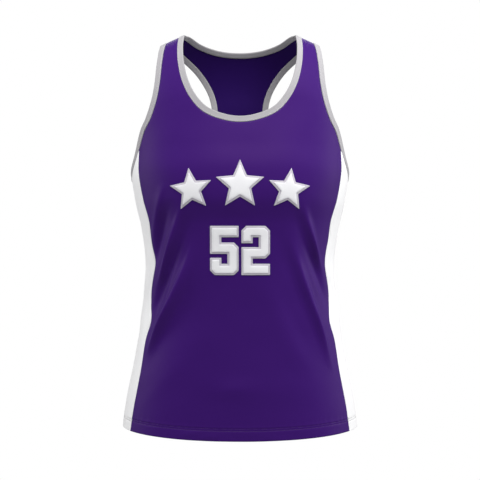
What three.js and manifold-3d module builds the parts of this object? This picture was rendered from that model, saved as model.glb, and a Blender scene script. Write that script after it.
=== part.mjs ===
// Racer-back volleyball tank top, filled out as it is worn, with nobody in it.
// Millimetres, +Z up, the front faces -Y and the wearer's left is at +X.
// The origin lies midway between the shoulders, level with the tops of the neck binding.
//
// Every point of the cloth has two coordinates: its angle round the body in degrees, 0 at the
// front centre, 90 at +X and 180 at the back centre, and its level in millimetres, measured
// down the cloth from the shoulder line.

import * as THREE from 'three';
import { mergeVertices } from 'three/addons/utils/BufferGeometryUtils.js';
import Module from 'manifold-3d';

// ---- driving dimensions ----

const cloth = 1.2;             // knit wall
const hemCloth = 1.1;          // second layer, where the hem is turned up inside
const hemDepth = 18;
const hemStep = 0.8;           // half the length over which the hem layer begins
const seamGap = 0.3;           // between neighbouring pieces
const roundness = 2.35;        // exponent of the body's sections, 2 is an ellipse

const bindingWidth = 9.4;
const bindingProud = 0.6;      // how far the binding stands off the cloth, on both sides
const bindingRounding = 1.1;   // its rounded outer edge

const shoulderArch = 110;      // drop over which the shoulder line rounds into chest and back
const ridgeSlope = 0.47;       // fall of the shoulder line towards the arm
const ridgeLevelAt = 95.8;     // the shoulder line passes z = 0 where hypot(x, neckRound) is this
const neckRound = 40;
const ridgeFade = { from: 60, to: 300 };   // levels over which the shoulder slope dies out

const hemZ = -621;             // at the sides
const frontHemDrop = 7;
const backHemDrop = 5;

const twill = 1;               // each applique layer
const twillGap = 0.3;
const twillBorder = 3;         // width of the backing round the face

// Half width and depths of the body at each height.
const sectionRows = [
  { z: 0, half: 152, front: 92, back: 88 },
  { z: -60, half: 165, front: 92, back: 93 },
  { z: -130, half: 171, front: 103, back: 98 },
  { z: -180, half: 171, front: 114.5, back: 103 },
  { z: -220, half: 172.8, front: 124, back: 105 },
  { z: -263, half: 167, front: 124.5, back: 102 },
  { z: -300, half: 160, front: 115, back: 96 },
  { z: -340, half: 152.5, front: 110.5, back: 88 },
  { z: -375, half: 150, front: 108.5, back: 82 },
  { z: -420, half: 151, front: 107.5, back: 84 },
  { z: -460, half: 158, front: 109, back: 92 },
  { z: -520, half: 169, front: 113.5, back: 106 },
  { z: -580, half: 181, front: 119, back: 116 },
  { z: -640, half: 189, front: 125, back: 120 },
];

// Cut edges of the panels, without the binding: one half, the other is its mirror image.
const neckRidgeX = 96.1;
const frontNeckRows = [
  { x: 0, z: -147 },
  { x: 15.7, z: -145.7 },
  { x: 31.5, z: -142 },
  { x: 44.3, z: -137.4 },
  { x: 55.1, z: -131.7 },
  { x: 64.9, z: -123.7 },
  { x: 74.7, z: -112.1 },
  { x: 82.6, z: -98.3 },
  { x: 89.6, z: -80.4 },
  { x: 94.1, z: -61.5 },
  { x: 96.8, z: -41.5 },
  { x: 97.4, z: -19.4 },
];
const backNeckRows = [
  { x: 88.2, z: -4.2 },
  { x: 76.8, z: -9.8 },
  { x: 65.1, z: -14.7 },
  { x: 49.3, z: -19.2 },
  { x: 32.6, z: -22.4 },
  { x: 15.8, z: -24 },
  { x: 0, z: -24.5 },
];
const armholeRidgeX = 115.9;
const frontArmholeRows = [
  { x: 119.4, z: -25.5 },
  { x: 121.6, z: -46.4 },
  { x: 123.9, z: -80.1 },
  { x: 128.8, z: -111.7 },
  { x: 138.6, z: -141.4 },
  { x: 148.9, z: -161.4 },
];
const frontSeamTopZ = -187.8;
const underarmRows = [
  { angle: 71.5, z: -207.5 },
  { angle: 79.5, z: -225.7 },
  { angle: 90, z: -235.9 },
  { angle: 102, z: -238.4 },
];
const backSeamTopZ = -234.4;
const backArmholeRows = [
  { x: 131.5, z: -226.5 },
  { x: 106.7, z: -214.6 },
  { x: 82.9, z: -199.7 },
  { x: 63.2, z: -181 },
  { x: 48.9, z: -158.3 },
  { x: 40.6, z: -134.6 },
  { x: 38.1, z: -112.1 },
  { x: 42, z: -88.5 },
  { x: 51.9, z: -66.8 },
  { x: 67.9, z: -45 },
  { x: 91.7, z: -24.8 },
  { x: 106.3, z: -14.4 },
];

// The seams between front and side panels wander where the cloth folds.
const frontSeamRows = [
  { z: -192, angle: 66.5 },
  { z: -235, angle: 65.4 },
  { z: -265, angle: 64.3 },
  { z: -298, angle: 61.2 },
  { z: -327, angle: 62.4 },
  { z: -365, angle: 61.2 },
  { z: -405, angle: 67 },
  { z: -428, angle: 66 },
  { z: -452, angle: 62.8 },
  { z: -482, angle: 65.2 },
  { z: -545, angle: 64.4 },
  { z: -640, angle: 66 },
];
const backSeamRows = [
  { z: -192, angle: 115.5 },
  { z: -290, angle: 116.5 },
  { z: -375, angle: 118 },
  { z: -470, angle: 116.5 },
  { z: -640, angle: 114.5 },
];

// Folds that run down the cloth: from, to, how far they bow sideways (degrees), the share of
// the way where they are highest, the width of each flank at the start and at the end, first
// for the side of the smaller angles, and the height in millimetres, negative for a trough.
const longFoldRows = [
  // front, wearer's right
  { fromAngle: -42, fromZ: -238, toAngle: -64, toZ: -352, bow: 0, peak: 0.45,
    less: [8, 6], more: [7, 6], height: 3.5 },
  { fromAngle: -38, fromZ: -262, toAngle: -63, toZ: -378, bow: -0.5, peak: 0.5,
    less: [8, 7], more: [8, 7], height: -5 },
  { fromAngle: -30, fromZ: -262, toAngle: -58.5, toZ: -400, bow: 1, peak: 0.56,
    less: [6, 5], more: [12, 12], height: 6 },
  { fromAngle: -27, fromZ: -286, toAngle: -64, toZ: -490, bow: -3.5, peak: 0.5,
    less: [14, 10], more: [9, 7], height: -6 },
  { fromAngle: -21, fromZ: -296, toAngle: -62, toZ: -506, bow: 0.5, peak: 0.66,
    less: [7, 5], more: [14, 13], height: 6.5 },
  { fromAngle: -20, fromZ: -345, toAngle: -61, toZ: -542, bow: 1.5, peak: 0.56,
    less: [17, 14], more: [32, 24], height: -4 },
  { fromAngle: -8, fromZ: -420, toAngle: -57, toZ: -590, bow: 3, peak: 0.6,
    less: [18, 15], more: [26, 22], height: 1 },
  // front, wearer's left
  { fromAngle: 33.5, fromZ: -258, toAngle: 58, toZ: -380, bow: -2, peak: 0.6,
    less: [12, 11], more: [7, 5], height: 6 },
  { fromAngle: 29.5, fromZ: -276, toAngle: 65, toZ: -444, bow: 0.5, peak: 0.5,
    less: [9, 7], more: [11, 10], height: -4.5 },
  { fromAngle: 24, fromZ: -290, toAngle: 57, toZ: -534, bow: 3, peak: 0.6,
    less: [12, 12], more: [10, 7], height: 7 },
  { fromAngle: 23, fromZ: -306, toAngle: 56, toZ: -520, bow: -3, peak: 0.5,
    less: [17, 12], more: [14, 12], height: -2.2 },
  { fromAngle: 12, fromZ: -350, toAngle: 42, toZ: -560, bow: -2, peak: 0.55,
    less: [22, 22], more: [16, 16], height: 1.5 },
  // sides
  { fromAngle: -77, fromZ: -256, toAngle: -98, toZ: -412, bow: -3, peak: 0.5,
    less: [13, 11], more: [12, 10], height: -4.5 },
  { fromAngle: -70, fromZ: -330, toAngle: -92, toZ: -480, bow: 2, peak: 0.5,
    less: [12, 10], more: [14, 12], height: 3.5 },
  { fromAngle: 80, fromZ: -272, toAngle: 99, toZ: -426, bow: 2, peak: 0.5,
    less: [12, 11], more: [14, 10], height: -4.5 },
  { fromAngle: 72, fromZ: -350, toAngle: 95, toZ: -492, bow: -2, peak: 0.55,
    less: [14, 12], more: [11, 10], height: 3.5 },
  // back
  { fromAngle: 133, fromZ: -236, toAngle: 110, toZ: -452, bow: 2, peak: 0.55,
    less: [10, 11], more: [18, 14], height: 7 },
  { fromAngle: -137, fromZ: -246, toAngle: -111, toZ: -464, bow: -3, peak: 0.6,
    less: [17, 15], more: [11, 10], height: 7.5 },
  { fromAngle: 147, fromZ: -268, toAngle: 119, toZ: -480, bow: 3, peak: 0.5,
    less: [16, 15], more: [20, 16], height: -4.5 },
  { fromAngle: -150, fromZ: -280, toAngle: -121, toZ: -500, bow: -2, peak: 0.5,
    less: [20, 16], more: [16, 14], height: -4.5 },
  { fromAngle: 157, fromZ: -330, toAngle: 128, toZ: -540, bow: -2, peak: 0.5,
    less: [16, 16], more: [24, 20], height: 3.5 },
  { fromAngle: -156, fromZ: -352, toAngle: -130, toZ: -556, bow: 3, peak: 0.45,
    less: [22, 20], more: [16, 16], height: 3 },
];

// Folds that run across: middle, half length (degrees), rise per degree, flank and height.
const crossFoldRows = [
  { angle: 2, z: -549, reach: 26, rise: -0.15, flank: 20, height: 1.4 },
  { angle: 172, z: -384, reach: 34, rise: 0.25, flank: 13, height: 4.5 },
  { angle: -174, z: -424, reach: 30, rise: -0.3, flank: 12, height: 4 },
  { angle: 178, z: -462, reach: 26, rise: 0.12, flank: 14, height: 3 },
];
const millimetresPerDegree = 2.7;
const smallestFlank = 10;      // what the faces can still show
const foldShare = 0.8;         // of the height, since the flanks are wider

// Plain five-pointed stars in an arch across the chest.
const starRows = [
  { name: 'star_right', x: -73, z: -252, radius: 33, turn: 7 },
  { name: 'star_middle', x: 0, z: -245, radius: 38, turn: 0 },
  { name: 'star_left', x: 73, z: -252, radius: 33, turn: -7 },
];
const starWaist = 0.46;        // inner corners, as a share of the radius

const digit = { width: 43, height: 74, stroke: 17, chamfer: 7, slot: 8, hook: 9 };
const digitRows = [
  { name: 'digit_left', x: -45, z: -380, flipped: false },
  { name: 'digit_right', x: 2, z: -380, flipped: true },
];

// Numbers of faces across and down the panels, closer together where the cloth folds.
const waist = { z: -400, reach: 95, crowding: 1.2 };
const frontCrowding = 0.8;     // below 1, the front's columns crowd towards the side seams
const frontNeckColumns = 7;
const strapColumns = 5;
const strapRows = 7;
const seamRowsCount = 18;
const armholeRowsCount = 5;
const sideColumns = 6;
const backNeckColumns = 4;
const backStrapColumns = 2;
const backArmholeColumns = 6;
const yokeRows = 8;
const backStrapRows = 4;

const colours = {
  purple: 0x3b1f6c,
  white: 0xf0f0f2,
  binding: 0xc3c5c7,
  twillBack: 0xa59fae,
  twillFace: 0xf2f2f4,
};

// ---- small helpers ----

const radians = Math.PI / 180;

function smoothStep(value, from, to) {
  const t = Math.min(Math.max((value - from) / (to - from), 0), 1);
  return t * t * (3 - 2 * t);
}

// A column of a table of heights, read smoothly at a height.
function readAtHeight(rows, column, z) {
  const last = rows.length - 1;
  if (z >= rows[0].z) return rows[0][column];
  if (z <= rows[last].z) return rows[last][column];
  const i = rows.findIndex((row) => row.z < z) - 1;
  const slope = (a, b) => (rows[b][column] - rows[a][column]) / (rows[b].z - rows[a].z);
  const step = rows[i + 1].z - rows[i].z;
  const startSlope = slope(Math.max(i - 1, 0), i + 1) * step;
  const endSlope = slope(i, Math.min(i + 2, last)) * step;
  const start = rows[i][column];
  const end = rows[i + 1][column];
  const t = (z - rows[i].z) / step;
  return start + t * (startSlope + t * (3 * (end - start) - 2 * startSlope - endSlope
    + t * (2 * (start - end) + startSlope + endSlope)));
}

// A point between the places of a list, on a smooth curve through them all.
function readAlong(places, position) {
  const last = places.length - 1;
  const i = Math.min(Math.floor(position), last - 1);
  const t = position - i;
  const [a, b, c, d] = [i - 1, i, i + 1, i + 2].map((k) => places[Math.min(Math.max(k, 0), last)]);
  const blend = (key) => b[key] + 0.5 * t * (c[key] - a[key]
    + t * (2 * a[key] - 5 * b[key] + 4 * c[key] - d[key]
      + t * (3 * (b[key] - c[key]) + d[key] - a[key])));
  return { angle: blend('angle'), level: blend('level') };
}

// ---- the body's surface ----

const archEnd = shoulderArch * Math.PI / 2;

function dropAt(level) {
  if (level > archEnd) return shoulderArch + level - archEnd;
  return shoulderArch * (1 - Math.cos(level / shoulderArch));
}

function ridgeHeight(x, level) {
  const fade = 1 - smoothStep(level, ridgeFade.from, ridgeFade.to);
  return ridgeSlope * (ridgeLevelAt - Math.hypot(x, neckRound)) * fade;
}

function bodyPoint(angle, level) {
  const z = -dropAt(level);
  const facesFront = Math.cos(angle * radians) > 0;
  const across = Math.sin(angle * radians);
  const x = readAtHeight(sectionRows, 'half', z) * across;
  const depth = readAtHeight(sectionRows, facesFront ? 'front' : 'back', z);
  const arch = level > archEnd ? 1 : Math.sin(level / shoulderArch);
  const curve = Math.max(1 - Math.abs(across) ** roundness, 0) ** (1 / roundness);
  const y = depth * arch * curve * (facesFront ? -1 : 1);
  return new THREE.Vector3(x, y, z + ridgeHeight(x, level));
}

function normalOf(pointAt, angle, level) {
  const angleStep = 0.2;
  const levelStep = 0.4;
  const round = pointAt(angle + angleStep, level).sub(pointAt(angle - angleStep, level));
  const down = pointAt(angle, level + levelStep).sub(pointAt(angle, level - levelStep));
  return down.cross(round).normalize();
}

function foldHeight(angle, z) {
  let height = 0;
  for (const row of longFoldRows) {
    const t = (row.fromZ - z) / (row.fromZ - row.toZ);
    if (t <= 0 || t >= 1) continue;
    const turn = row.toAngle - row.fromAngle;
    const middle = row.fromAngle + turn * t + row.bow * 4 * t * (1 - t);
    const run = turn * millimetresPerDegree / (row.fromZ - row.toZ);
    const across = (angle - middle) * millimetresPerDegree / Math.hypot(1, run);
    const [start, end] = across < 0 ? row.less : row.more;
    const flank = Math.max(start + (end - start) * t, smallestFlank);
    const swell = Math.sin(Math.PI * t ** (Math.log(0.5) / Math.log(row.peak))) ** 1.5;
    height += row.height * foldShare * swell * Math.exp(-((across / flank) ** 2));
  }
  for (const row of crossFoldRows) {
    const offset = (angle - row.angle + 540) % 360 - 180;
    const across = z - row.z - row.rise * offset;
    const fade = Math.exp(-((offset / row.reach) ** 2));
    height += row.height * fade * Math.exp(-((across / row.flank) ** 2));
  }
  return height;
}

function foldedPoint(angle, level) {
  const point = bodyPoint(angle, level);
  return point.addScaledVector(normalOf(bodyPoint, angle, level), foldHeight(angle, point.z));
}

// The outer face of the cloth, and the point `offset` outside it.
function clothPoint(place, offset = 0) {
  const point = foldedPoint(place.angle, place.level);
  if (offset === 0) return point;
  return point.addScaledVector(normalOf(foldedPoint, place.angle, place.level), offset);
}

// ---- places of the cut edges ----

function levelAtX(x, z) {
  let [low, high] = [0, 900];
  for (let step = 0; step < 40; step += 1) {
    const middle = (low + high) / 2;
    if (ridgeHeight(x, middle) - dropAt(middle) > z) low = middle;
    else high = middle;
  }
  return (low + high) / 2;
}

function placeAtX(x, z, onBack = false) {
  const level = levelAtX(x, z);
  const angle = Math.asin(x / readAtHeight(sectionRows, 'half', -dropAt(level))) / radians;
  return { angle: onBack ? 180 - angle : angle, level };
}

function ridgePlace(x) {
  return { angle: Math.asin(x / sectionRows[0].half) / radians, level: 0 };
}

function placeAtAngle(angle, z) {
  let [low, high] = [0, 900];
  for (let step = 0; step < 40; step += 1) {
    const middle = (low + high) / 2;
    if (bodyPoint(angle, middle).z > z) low = middle;
    else high = middle;
  }
  return { angle, level: (low + high) / 2 };
}

// The same place, seen from the far side of the shoulder line.
function overShoulder(place) {
  return { angle: 180 - place.angle, level: -place.level };
}

function mirrored(place) {
  return { angle: -place.angle, level: place.level };
}

function hemPlace(angle) {
  const facing = Math.cos(angle * radians);
  const drop = facing > 0 ? frontHemDrop : backHemDrop;
  return placeAtAngle(angle, hemZ - drop * facing * facing);
}

// Places along a curve with the given shares of its length, where a length can count more
// in one height than in another.
function spread(placeAt, shares, weightAt = () => 1) {
  const fineSteps = 160;
  const fine = Array.from({ length: fineSteps + 1 }, (_, i) => i / fineSteps);
  const points = fine.map((t) => bodyPoint(placeAt(t).angle, placeAt(t).level));
  const lengths = [0];
  for (let i = 1; i <= fineSteps; i += 1) {
    const step = points[i].distanceTo(points[i - 1]);
    lengths.push(lengths[i - 1] + step * weightAt(points[i].z));
  }
  const total = lengths[fineSteps];
  const fractions = typeof shares === 'function' ? shares(total) : shares;
  return fractions.map((share) => {
    const i = Math.min(Math.max(lengths.findIndex((l) => l >= share * total - 1e-9), 1), fineSteps);
    const t = (share * total - lengths[i - 1]) / (lengths[i] - lengths[i - 1]);
    return placeAt((i - 1 + t) / fineSteps);
  });
}

function even(count) {
  return Array.from({ length: count + 1 }, (_, i) => i / count);
}

function waistWeight(z) {
  return 1 + waist.crowding * Math.exp(-(((z - waist.z) / waist.reach) ** 2));
}

// Shares that give the hem its own rows, and even rows above it.
function hemShares(count) {
  return (total) => [0, (hemDepth - hemStep) / total].concat(
    even(count - 2).map((share) => share + (1 - share) * (hemDepth + hemStep) / total),
  );
}

function stretch(places, from, to) {
  return (t) => readAlong(places, from + (to - from) * t);
}

function straight(start, end) {
  return (t) => ({
    angle: start.angle + (end.angle - start.angle) * t,
    level: start.level + (end.level - start.level) * t,
  });
}

// Neck edge from the front centre over the shoulder line to the back centre. The back's
// places count as levels above the line while the curve is drawn.
const neckRidge = ridgePlace(neckRidgeX);
const frontNeckPlaces = frontNeckRows.map((row) => placeAtX(row.x, row.z));
const backNeckPlaces = backNeckRows.map((row) => overShoulder(placeAtX(row.x, row.z, true)));
const neckPlaces = [mirrored(frontNeckPlaces[1]), ...frontNeckPlaces, neckRidge,
  ...backNeckPlaces, mirrored(backNeckPlaces.at(-2))];
const neckAt = { frontCentre: 1, frontStrap: 7, ridge: 13, backStrap: 16, backCentre: 20 };

function neckStretch(from, to) {
  return (t) => {
    const place = readAlong(neckPlaces, from + (to - from) * t);
    return place.level < 0 ? overShoulder(place) : place;
  };
}

// Armhole edge from the shoulder line down the front, under the arm and up the back.
const armholeRidge = ridgePlace(armholeRidgeX);
const frontArmholePlaces = frontArmholeRows.map((row) => placeAtX(row.x, row.z));
const backArmholePlaces = backArmholeRows.map((row) => placeAtX(row.x, row.z, true));
const frontSeamTop = placeAtAngle(readAtHeight(frontSeamRows, 'angle', frontSeamTopZ), frontSeamTopZ);
const backSeamTop = placeAtAngle(readAtHeight(backSeamRows, 'angle', backSeamTopZ), backSeamTopZ);
const armholePlaces = [overShoulder(backArmholePlaces.at(-1)), armholeRidge,
  ...frontArmholePlaces, frontSeamTop, ...underarmRows.map((row) => placeAtAngle(row.angle, row.z)),
  backSeamTop, ...backArmholePlaces, overShoulder(armholeRidge),
  overShoulder(frontArmholePlaces[0])];
const armholeAt = { ridge: 1, strap: 5, frontSeam: 8, backSeam: 13, yoke: 17.6, backStrap: 24,
  backRidge: 26 };

function armholeStretch(from, to) {
  return stretch(armholePlaces, from, to);
}

// Half the seam gap, as degrees round the body at a place.
function halfGapAngle(place) {
  const step = 0.5;
  const width = bodyPoint(place.angle + step, place.level)
    .distanceTo(bodyPoint(place.angle - step, place.level));
  return seamGap / 2 / width * 2 * step;
}

// The place on the armhole edge half a seam gap to one side of a seam.
function armholeBesideSeam(position, side) {
  const step = 0.01;
  const [before, after] = [-step, step].map((shift) => readAlong(armholePlaces, position + shift));
  const rate = (after.angle - before.angle) / (2 * step);
  return readAlong(armholePlaces, position + side * halfGapAngle(before) / rate);
}

// One side of a seam between the hem and the armhole, bottom to top.
function seamPlaces(rows, topZ, side, corner) {
  const bottom = rows.at(-1).angle;
  const bottomZ = bodyPoint(bottom, hemPlace(bottom).level).z;
  const placeAt = (t) => {
    const z = bottomZ + (topZ - bottomZ) * t;
    const place = placeAtAngle(readAtHeight(rows, 'angle', z), z);
    return { angle: place.angle + side * halfGapAngle(place), level: place.level };
  };
  return [...spread(placeAt, hemShares(seamRowsCount), waistWeight).slice(0, -1), corner];
}

// ---- cloth surfaces ----

// A patch of places between four edges, each a list of places. Rows run up, columns across.
function patch(bottom, top, left, right) {
  const mix = (a, b, t, key) => a[key] + (b[key] - a[key]) * t;
  return left.map((leftPlace, j) => bottom.map((bottomPlace, i) => {
    const u = i / (bottom.length - 1);
    const v = j / (left.length - 1);
    const blend = (key) => mix(bottomPlace, top[i], v, key) + mix(leftPlace, right[j], u, key)
      - mix({ k: mix(bottom[0], bottom.at(-1), u, key) }, { k: mix(top[0], top.at(-1), u, key) },
        v, 'k');
    return { angle: blend('angle'), level: blend('level') };
  }));
}

function midPlace(a, b) {
  return { angle: (a.angle + b.angle) / 2, level: (a.level + b.level) / 2 };
}

// Splits a four-sided face along the diagonal that lies closer to the cloth.
function splitFace(surface, [a, b, c, d], centre) {
  const middle = clothPoint(centre);
  const gap = (p, q) => surface.points[p].clone().add(surface.points[q]).multiplyScalar(0.5)
    .distanceTo(middle);
  if (gap(a, c) < gap(b, d)) return [[a, b, c], [a, c, d]];
  return [[a, b, d], [b, c, d]];
}

// Joins patches into one surface: shared points once, faces turned outwards.
function surfaceOf(patches) {
  const surface = { points: [], normals: [], places: [], faces: [] };
  const known = new Map();
  const vertexAt = (place) => {
    const point = clothPoint(place);
    const key = point.toArray().map((value) => Math.round(value * 1000)).join();
    if (!known.has(key)) {
      known.set(key, surface.points.length);
      surface.points.push(point);
      surface.normals.push(normalOf(foldedPoint, place.angle, place.level));
      surface.places.push(place);
    }
    return known.get(key);
  };
  for (const rows of patches) {
    const indices = rows.map((row) => row.map(vertexAt));
    for (let j = 0; j + 1 < indices.length; j += 1) {
      for (let i = 0; i + 1 < indices[j].length; i += 1) {
        const corners = [indices[j][i], indices[j][i + 1], indices[j + 1][i + 1], indices[j + 1][i]];
        const centre = midPlace(midPlace(rows[j][i], rows[j][i + 1]),
          midPlace(rows[j + 1][i], rows[j + 1][i + 1]));
        surface.faces.push(...splitFace(surface, corners, centre));
      }
    }
  }
  for (const face of surface.faces) {
    const [a, b, c] = face.map((index) => surface.points[index]);
    const facing = b.clone().sub(a).cross(c.clone().sub(a));
    if (facing.dot(surface.normals[face[0]]) < 0) face.reverse();
  }
  return surface;
}

// A wall between two offsets of a surface, closed round its rim.
function wallGeometry(surface, outerAt, innerAt) {
  const count = surface.points.length;
  const layer = (offsetAt) => surface.points.flatMap((point, i) => (
    point.clone().addScaledVector(surface.normals[i], offsetAt(surface.places[i])).toArray()));
  const indices = [];
  const edges = new Set(surface.faces.flatMap(([a, b, c]) => [`${a},${b}`, `${b},${c}`, `${c},${a}`]));
  for (const [a, b, c] of surface.faces) indices.push(a, b, c, a + count, c + count, b + count);
  for (const edge of edges) {
    const [a, b] = edge.split(',').map(Number);
    if (edges.has(`${b},${a}`)) continue;
    // Both sides of a seam are split along the same diagonal, so that they stay parallel.
    if (surface.points[a].z > surface.points[b].z) {
      indices.push(b, a, b + count, a, a + count, b + count);
    } else {
      indices.push(b, a, a + count, b, a + count, b + count);
    }
  }
  const geometry = new THREE.BufferGeometry();
  const positions = [...layer(outerAt), ...layer(innerAt)];
  geometry.setAttribute('position', new THREE.Float32BufferAttribute(positions, 3));
  geometry.setIndex(indices);
  return geometry;
}

// The cloth is single, and double where the hem is turned up.
function wallThickness(place) {
  const aboveHem = clothPoint(place).z - clothPoint(hemPlace(place.angle)).z;
  return cloth + hemCloth * (1 - smoothStep(aboveHem, hemDepth - hemStep, hemDepth + hemStep));
}

function panelGeometry(patches) {
  return wallGeometry(surfaceOf(patches), () => 0, (place) => -wallThickness(place));
}

function withMirrored(patches) {
  return [...patches, ...patches.map((rows) => rows.map((row) => row.map(mirrored)))];
}

// ---- edges shared by the panels and the bindings ----

const neckEdge = {
  front: spread(neckStretch(neckAt.frontCentre, neckAt.frontStrap), even(frontNeckColumns)),
  strap: spread(neckStretch(neckAt.frontStrap, neckAt.ridge), even(strapRows)),
  backStrap: spread(neckStretch(neckAt.ridge, neckAt.backStrap), even(backStrapRows)),
  back: spread(neckStretch(neckAt.backStrap, neckAt.backCentre), even(backNeckColumns)),
};
const armholeEdge = {
  strap: spread(armholeStretch(armholeAt.ridge, armholeAt.strap), even(strapRows)),
  front: spread(armholeStretch(armholeAt.strap, armholeAt.frontSeam), even(armholeRowsCount)),
  under: spread(armholeStretch(armholeAt.frontSeam, armholeAt.backSeam), even(sideColumns)),
  back: spread(armholeStretch(armholeAt.backSeam, armholeAt.yoke), even(backArmholeColumns)),
  yoke: spread(armholeStretch(armholeAt.yoke, armholeAt.backStrap), even(yokeRows)),
  backStrap: spread(armholeStretch(armholeAt.backStrap, armholeAt.backRidge), even(backStrapRows)),
};

function reversed(places) {
  return [...places].reverse();
}

function line(start, end, columns) {
  return even(columns).map(straight(start, end));
}

// The places where a strap ends, half a seam gap short of the shoulder line.
function shoulderPlace(place, onBack) {
  const angle = Math.min(place.angle, 180 - place.angle);
  return { angle: onBack ? 180 - angle : angle, level: seamGap / 2 };
}

function frontPatches() {
  const corner = armholeBesideSeam(armholeAt.frontSeam, -1);
  const seam = seamPlaces(frontSeamRows, frontSeamTopZ, -1, corner);
  const right = [...seam, ...reversed(armholeEdge.front).slice(1)];
  const neckCentre = neckEdge.front[0];
  const rows = right.length - 1;
  const left = spread(straight(hemPlace(0), neckCentre), hemShares(rows), waistWeight);
  const columns = frontNeckColumns + strapColumns;
  const bottom = even(columns).map((share) => hemPlace(seam[0].angle * share ** frontCrowding));
  bottom[columns] = seam[0];
  const strapBase = line(neckEdge.strap[0], armholeEdge.front[0], strapColumns);
  const body = patch(bottom, [...neckEdge.front, ...strapBase.slice(1)], left, right);

  const neckSide = [...neckEdge.strap];
  const armSide = reversed(armholeEdge.strap);
  neckSide[strapRows] = shoulderPlace(neckSide[strapRows], false);
  armSide[strapRows] = shoulderPlace(armSide[strapRows], false);
  const shoulder = line(neckSide[strapRows], armSide[strapRows], strapColumns);
  return { body, strap: patch(strapBase, shoulder, neckSide, armSide) };
}

function backPatches() {
  const corner = armholeBesideSeam(armholeAt.backSeam, 1);
  const seam = seamPlaces(backSeamRows, backSeamTopZ, 1, corner);
  const innerColumns = backNeckColumns + backStrapColumns;
  const columns = innerColumns + backArmholeColumns;
  const yokeCorner = armholeEdge.yoke[0];
  const yokeCentre = placeAtAngle(180, bodyPoint(yokeCorner.angle, yokeCorner.level).z);
  const yokeBase = line(yokeCentre, yokeCorner, innerColumns);
  const bottom = even(columns).map((share) => hemPlace(180 + (seam[0].angle - 180) * share));
  bottom[columns] = seam[0];
  const left = spread(straight(hemPlace(180), yokeCentre), hemShares(seamRowsCount), waistWeight);
  const top = [...yokeBase, ...reversed(armholeEdge.back).slice(1, -1), corner];
  const body = patch(bottom, top, left, seam);

  const neckTop = reversed(neckEdge.back);
  const strapBase = line(neckTop.at(-1), armholeEdge.yoke.at(-1), backStrapColumns);
  const centre = line(yokeCentre, neckTop[0], yokeRows);
  const yoke = patch(yokeBase, [...neckTop, ...strapBase.slice(1)], centre, armholeEdge.yoke);

  const neckSide = reversed(neckEdge.backStrap);
  const armSide = [...armholeEdge.backStrap];
  neckSide[backStrapRows] = shoulderPlace(neckSide[backStrapRows], true);
  armSide[backStrapRows] = shoulderPlace(armSide[backStrapRows], true);
  const shoulder = line(neckSide[backStrapRows], armSide[backStrapRows], backStrapColumns);
  return [body, yoke, patch(strapBase, shoulder, neckSide, armSide)];
}

function sidePatch() {
  const frontCorner = armholeBesideSeam(armholeAt.frontSeam, 1);
  const backCorner = armholeBesideSeam(armholeAt.backSeam, -1);
  const left = seamPlaces(frontSeamRows, frontSeamTopZ, 1, frontCorner);
  const right = seamPlaces(backSeamRows, backSeamTopZ, -1, backCorner);
  const bottom = even(sideColumns).map((share) => (
    hemPlace(left[0].angle + (right[0].angle - left[0].angle) * share)));
  const top = [frontCorner, ...armholeEdge.under.slice(1, -1), backCorner];
  return patch(bottom, top, left, right);
}

// A binding runs round the opening on the far side of the panels' edge from the cloth.
function bindingGeometry(stations) {
  const outer = seamGap + bindingWidth;
  const section = [
    [seamGap, bindingProud],
    [outer - bindingRounding, bindingProud],
    [outer, bindingProud - bindingRounding],
    [outer, bindingRounding - cloth - bindingProud],
    [outer - bindingRounding, -cloth - bindingProud],
    [seamGap, -cloth - bindingProud],
  ];
  const count = stations.length;
  const points = stations.map((place) => clothPoint(place));
  const positions = stations.flatMap((place, i) => {
    const along = points[(i + 1) % count].clone().sub(points[(i + count - 1) % count]);
    const normal = normalOf(foldedPoint, place.angle, place.level);
    const outwards = normal.clone().cross(along).normalize();
    return section.flatMap(([across, out]) => points[i].clone()
      .addScaledVector(outwards, across).addScaledVector(normal, out).toArray());
  });
  const corners = section.length;
  const indices = [];
  for (let i = 0; i < count; i += 1) {
    for (let k = 0; k < corners; k += 1) {
      const [a, b] = [i * corners + k, i * corners + (k + 1) % corners];
      const next = (i + 1) % count - i;
      const [c, d] = [b + next * corners, a + next * corners];
      indices.push(a, c, b, a, d, c);
    }
  }
  const geometry = new THREE.BufferGeometry();
  geometry.setAttribute('position', new THREE.Float32BufferAttribute(positions, 3));
  geometry.setIndex(indices);
  return geometry;
}

function neckStations() {
  const half = [...neckEdge.front, ...neckEdge.strap.slice(1), ...neckEdge.backStrap.slice(1),
    ...neckEdge.back.slice(1)];
  return [...half, ...reversed(half).slice(1, -1).map(mirrored)];
}

function armholeStations() {
  return [armholeEdge.strap, armholeEdge.front, armholeEdge.under, armholeEdge.back,
    armholeEdge.yoke, armholeEdge.backStrap].flatMap((places) => places.slice(0, -1));
}

// ---- appliques ----

const wasm = await Module();
wasm.setup();

function solidOf(geometry) {
  const bare = geometry.clone();
  bare.deleteAttribute('normal');
  bare.deleteAttribute('uv');
  const merged = mergeVertices(bare, 1e-4);
  return new wasm.Manifold(new wasm.Mesh({
    numProp: 3,
    vertProperties: merged.attributes.position.array,
    triVerts: new Uint32Array(merged.index.array),
  }));
}

function starOutline(row) {
  const points = [];
  for (let i = 0; i < 10; i += 1) {
    const reach = row.radius * (i % 2 === 0 ? 1 : starWaist);
    const turn = (90 + i * 36 + row.turn) * radians;
    points.push([row.x + reach * Math.cos(turn), row.z + reach * Math.sin(turn)]);
  }
  return points;
}

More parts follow.
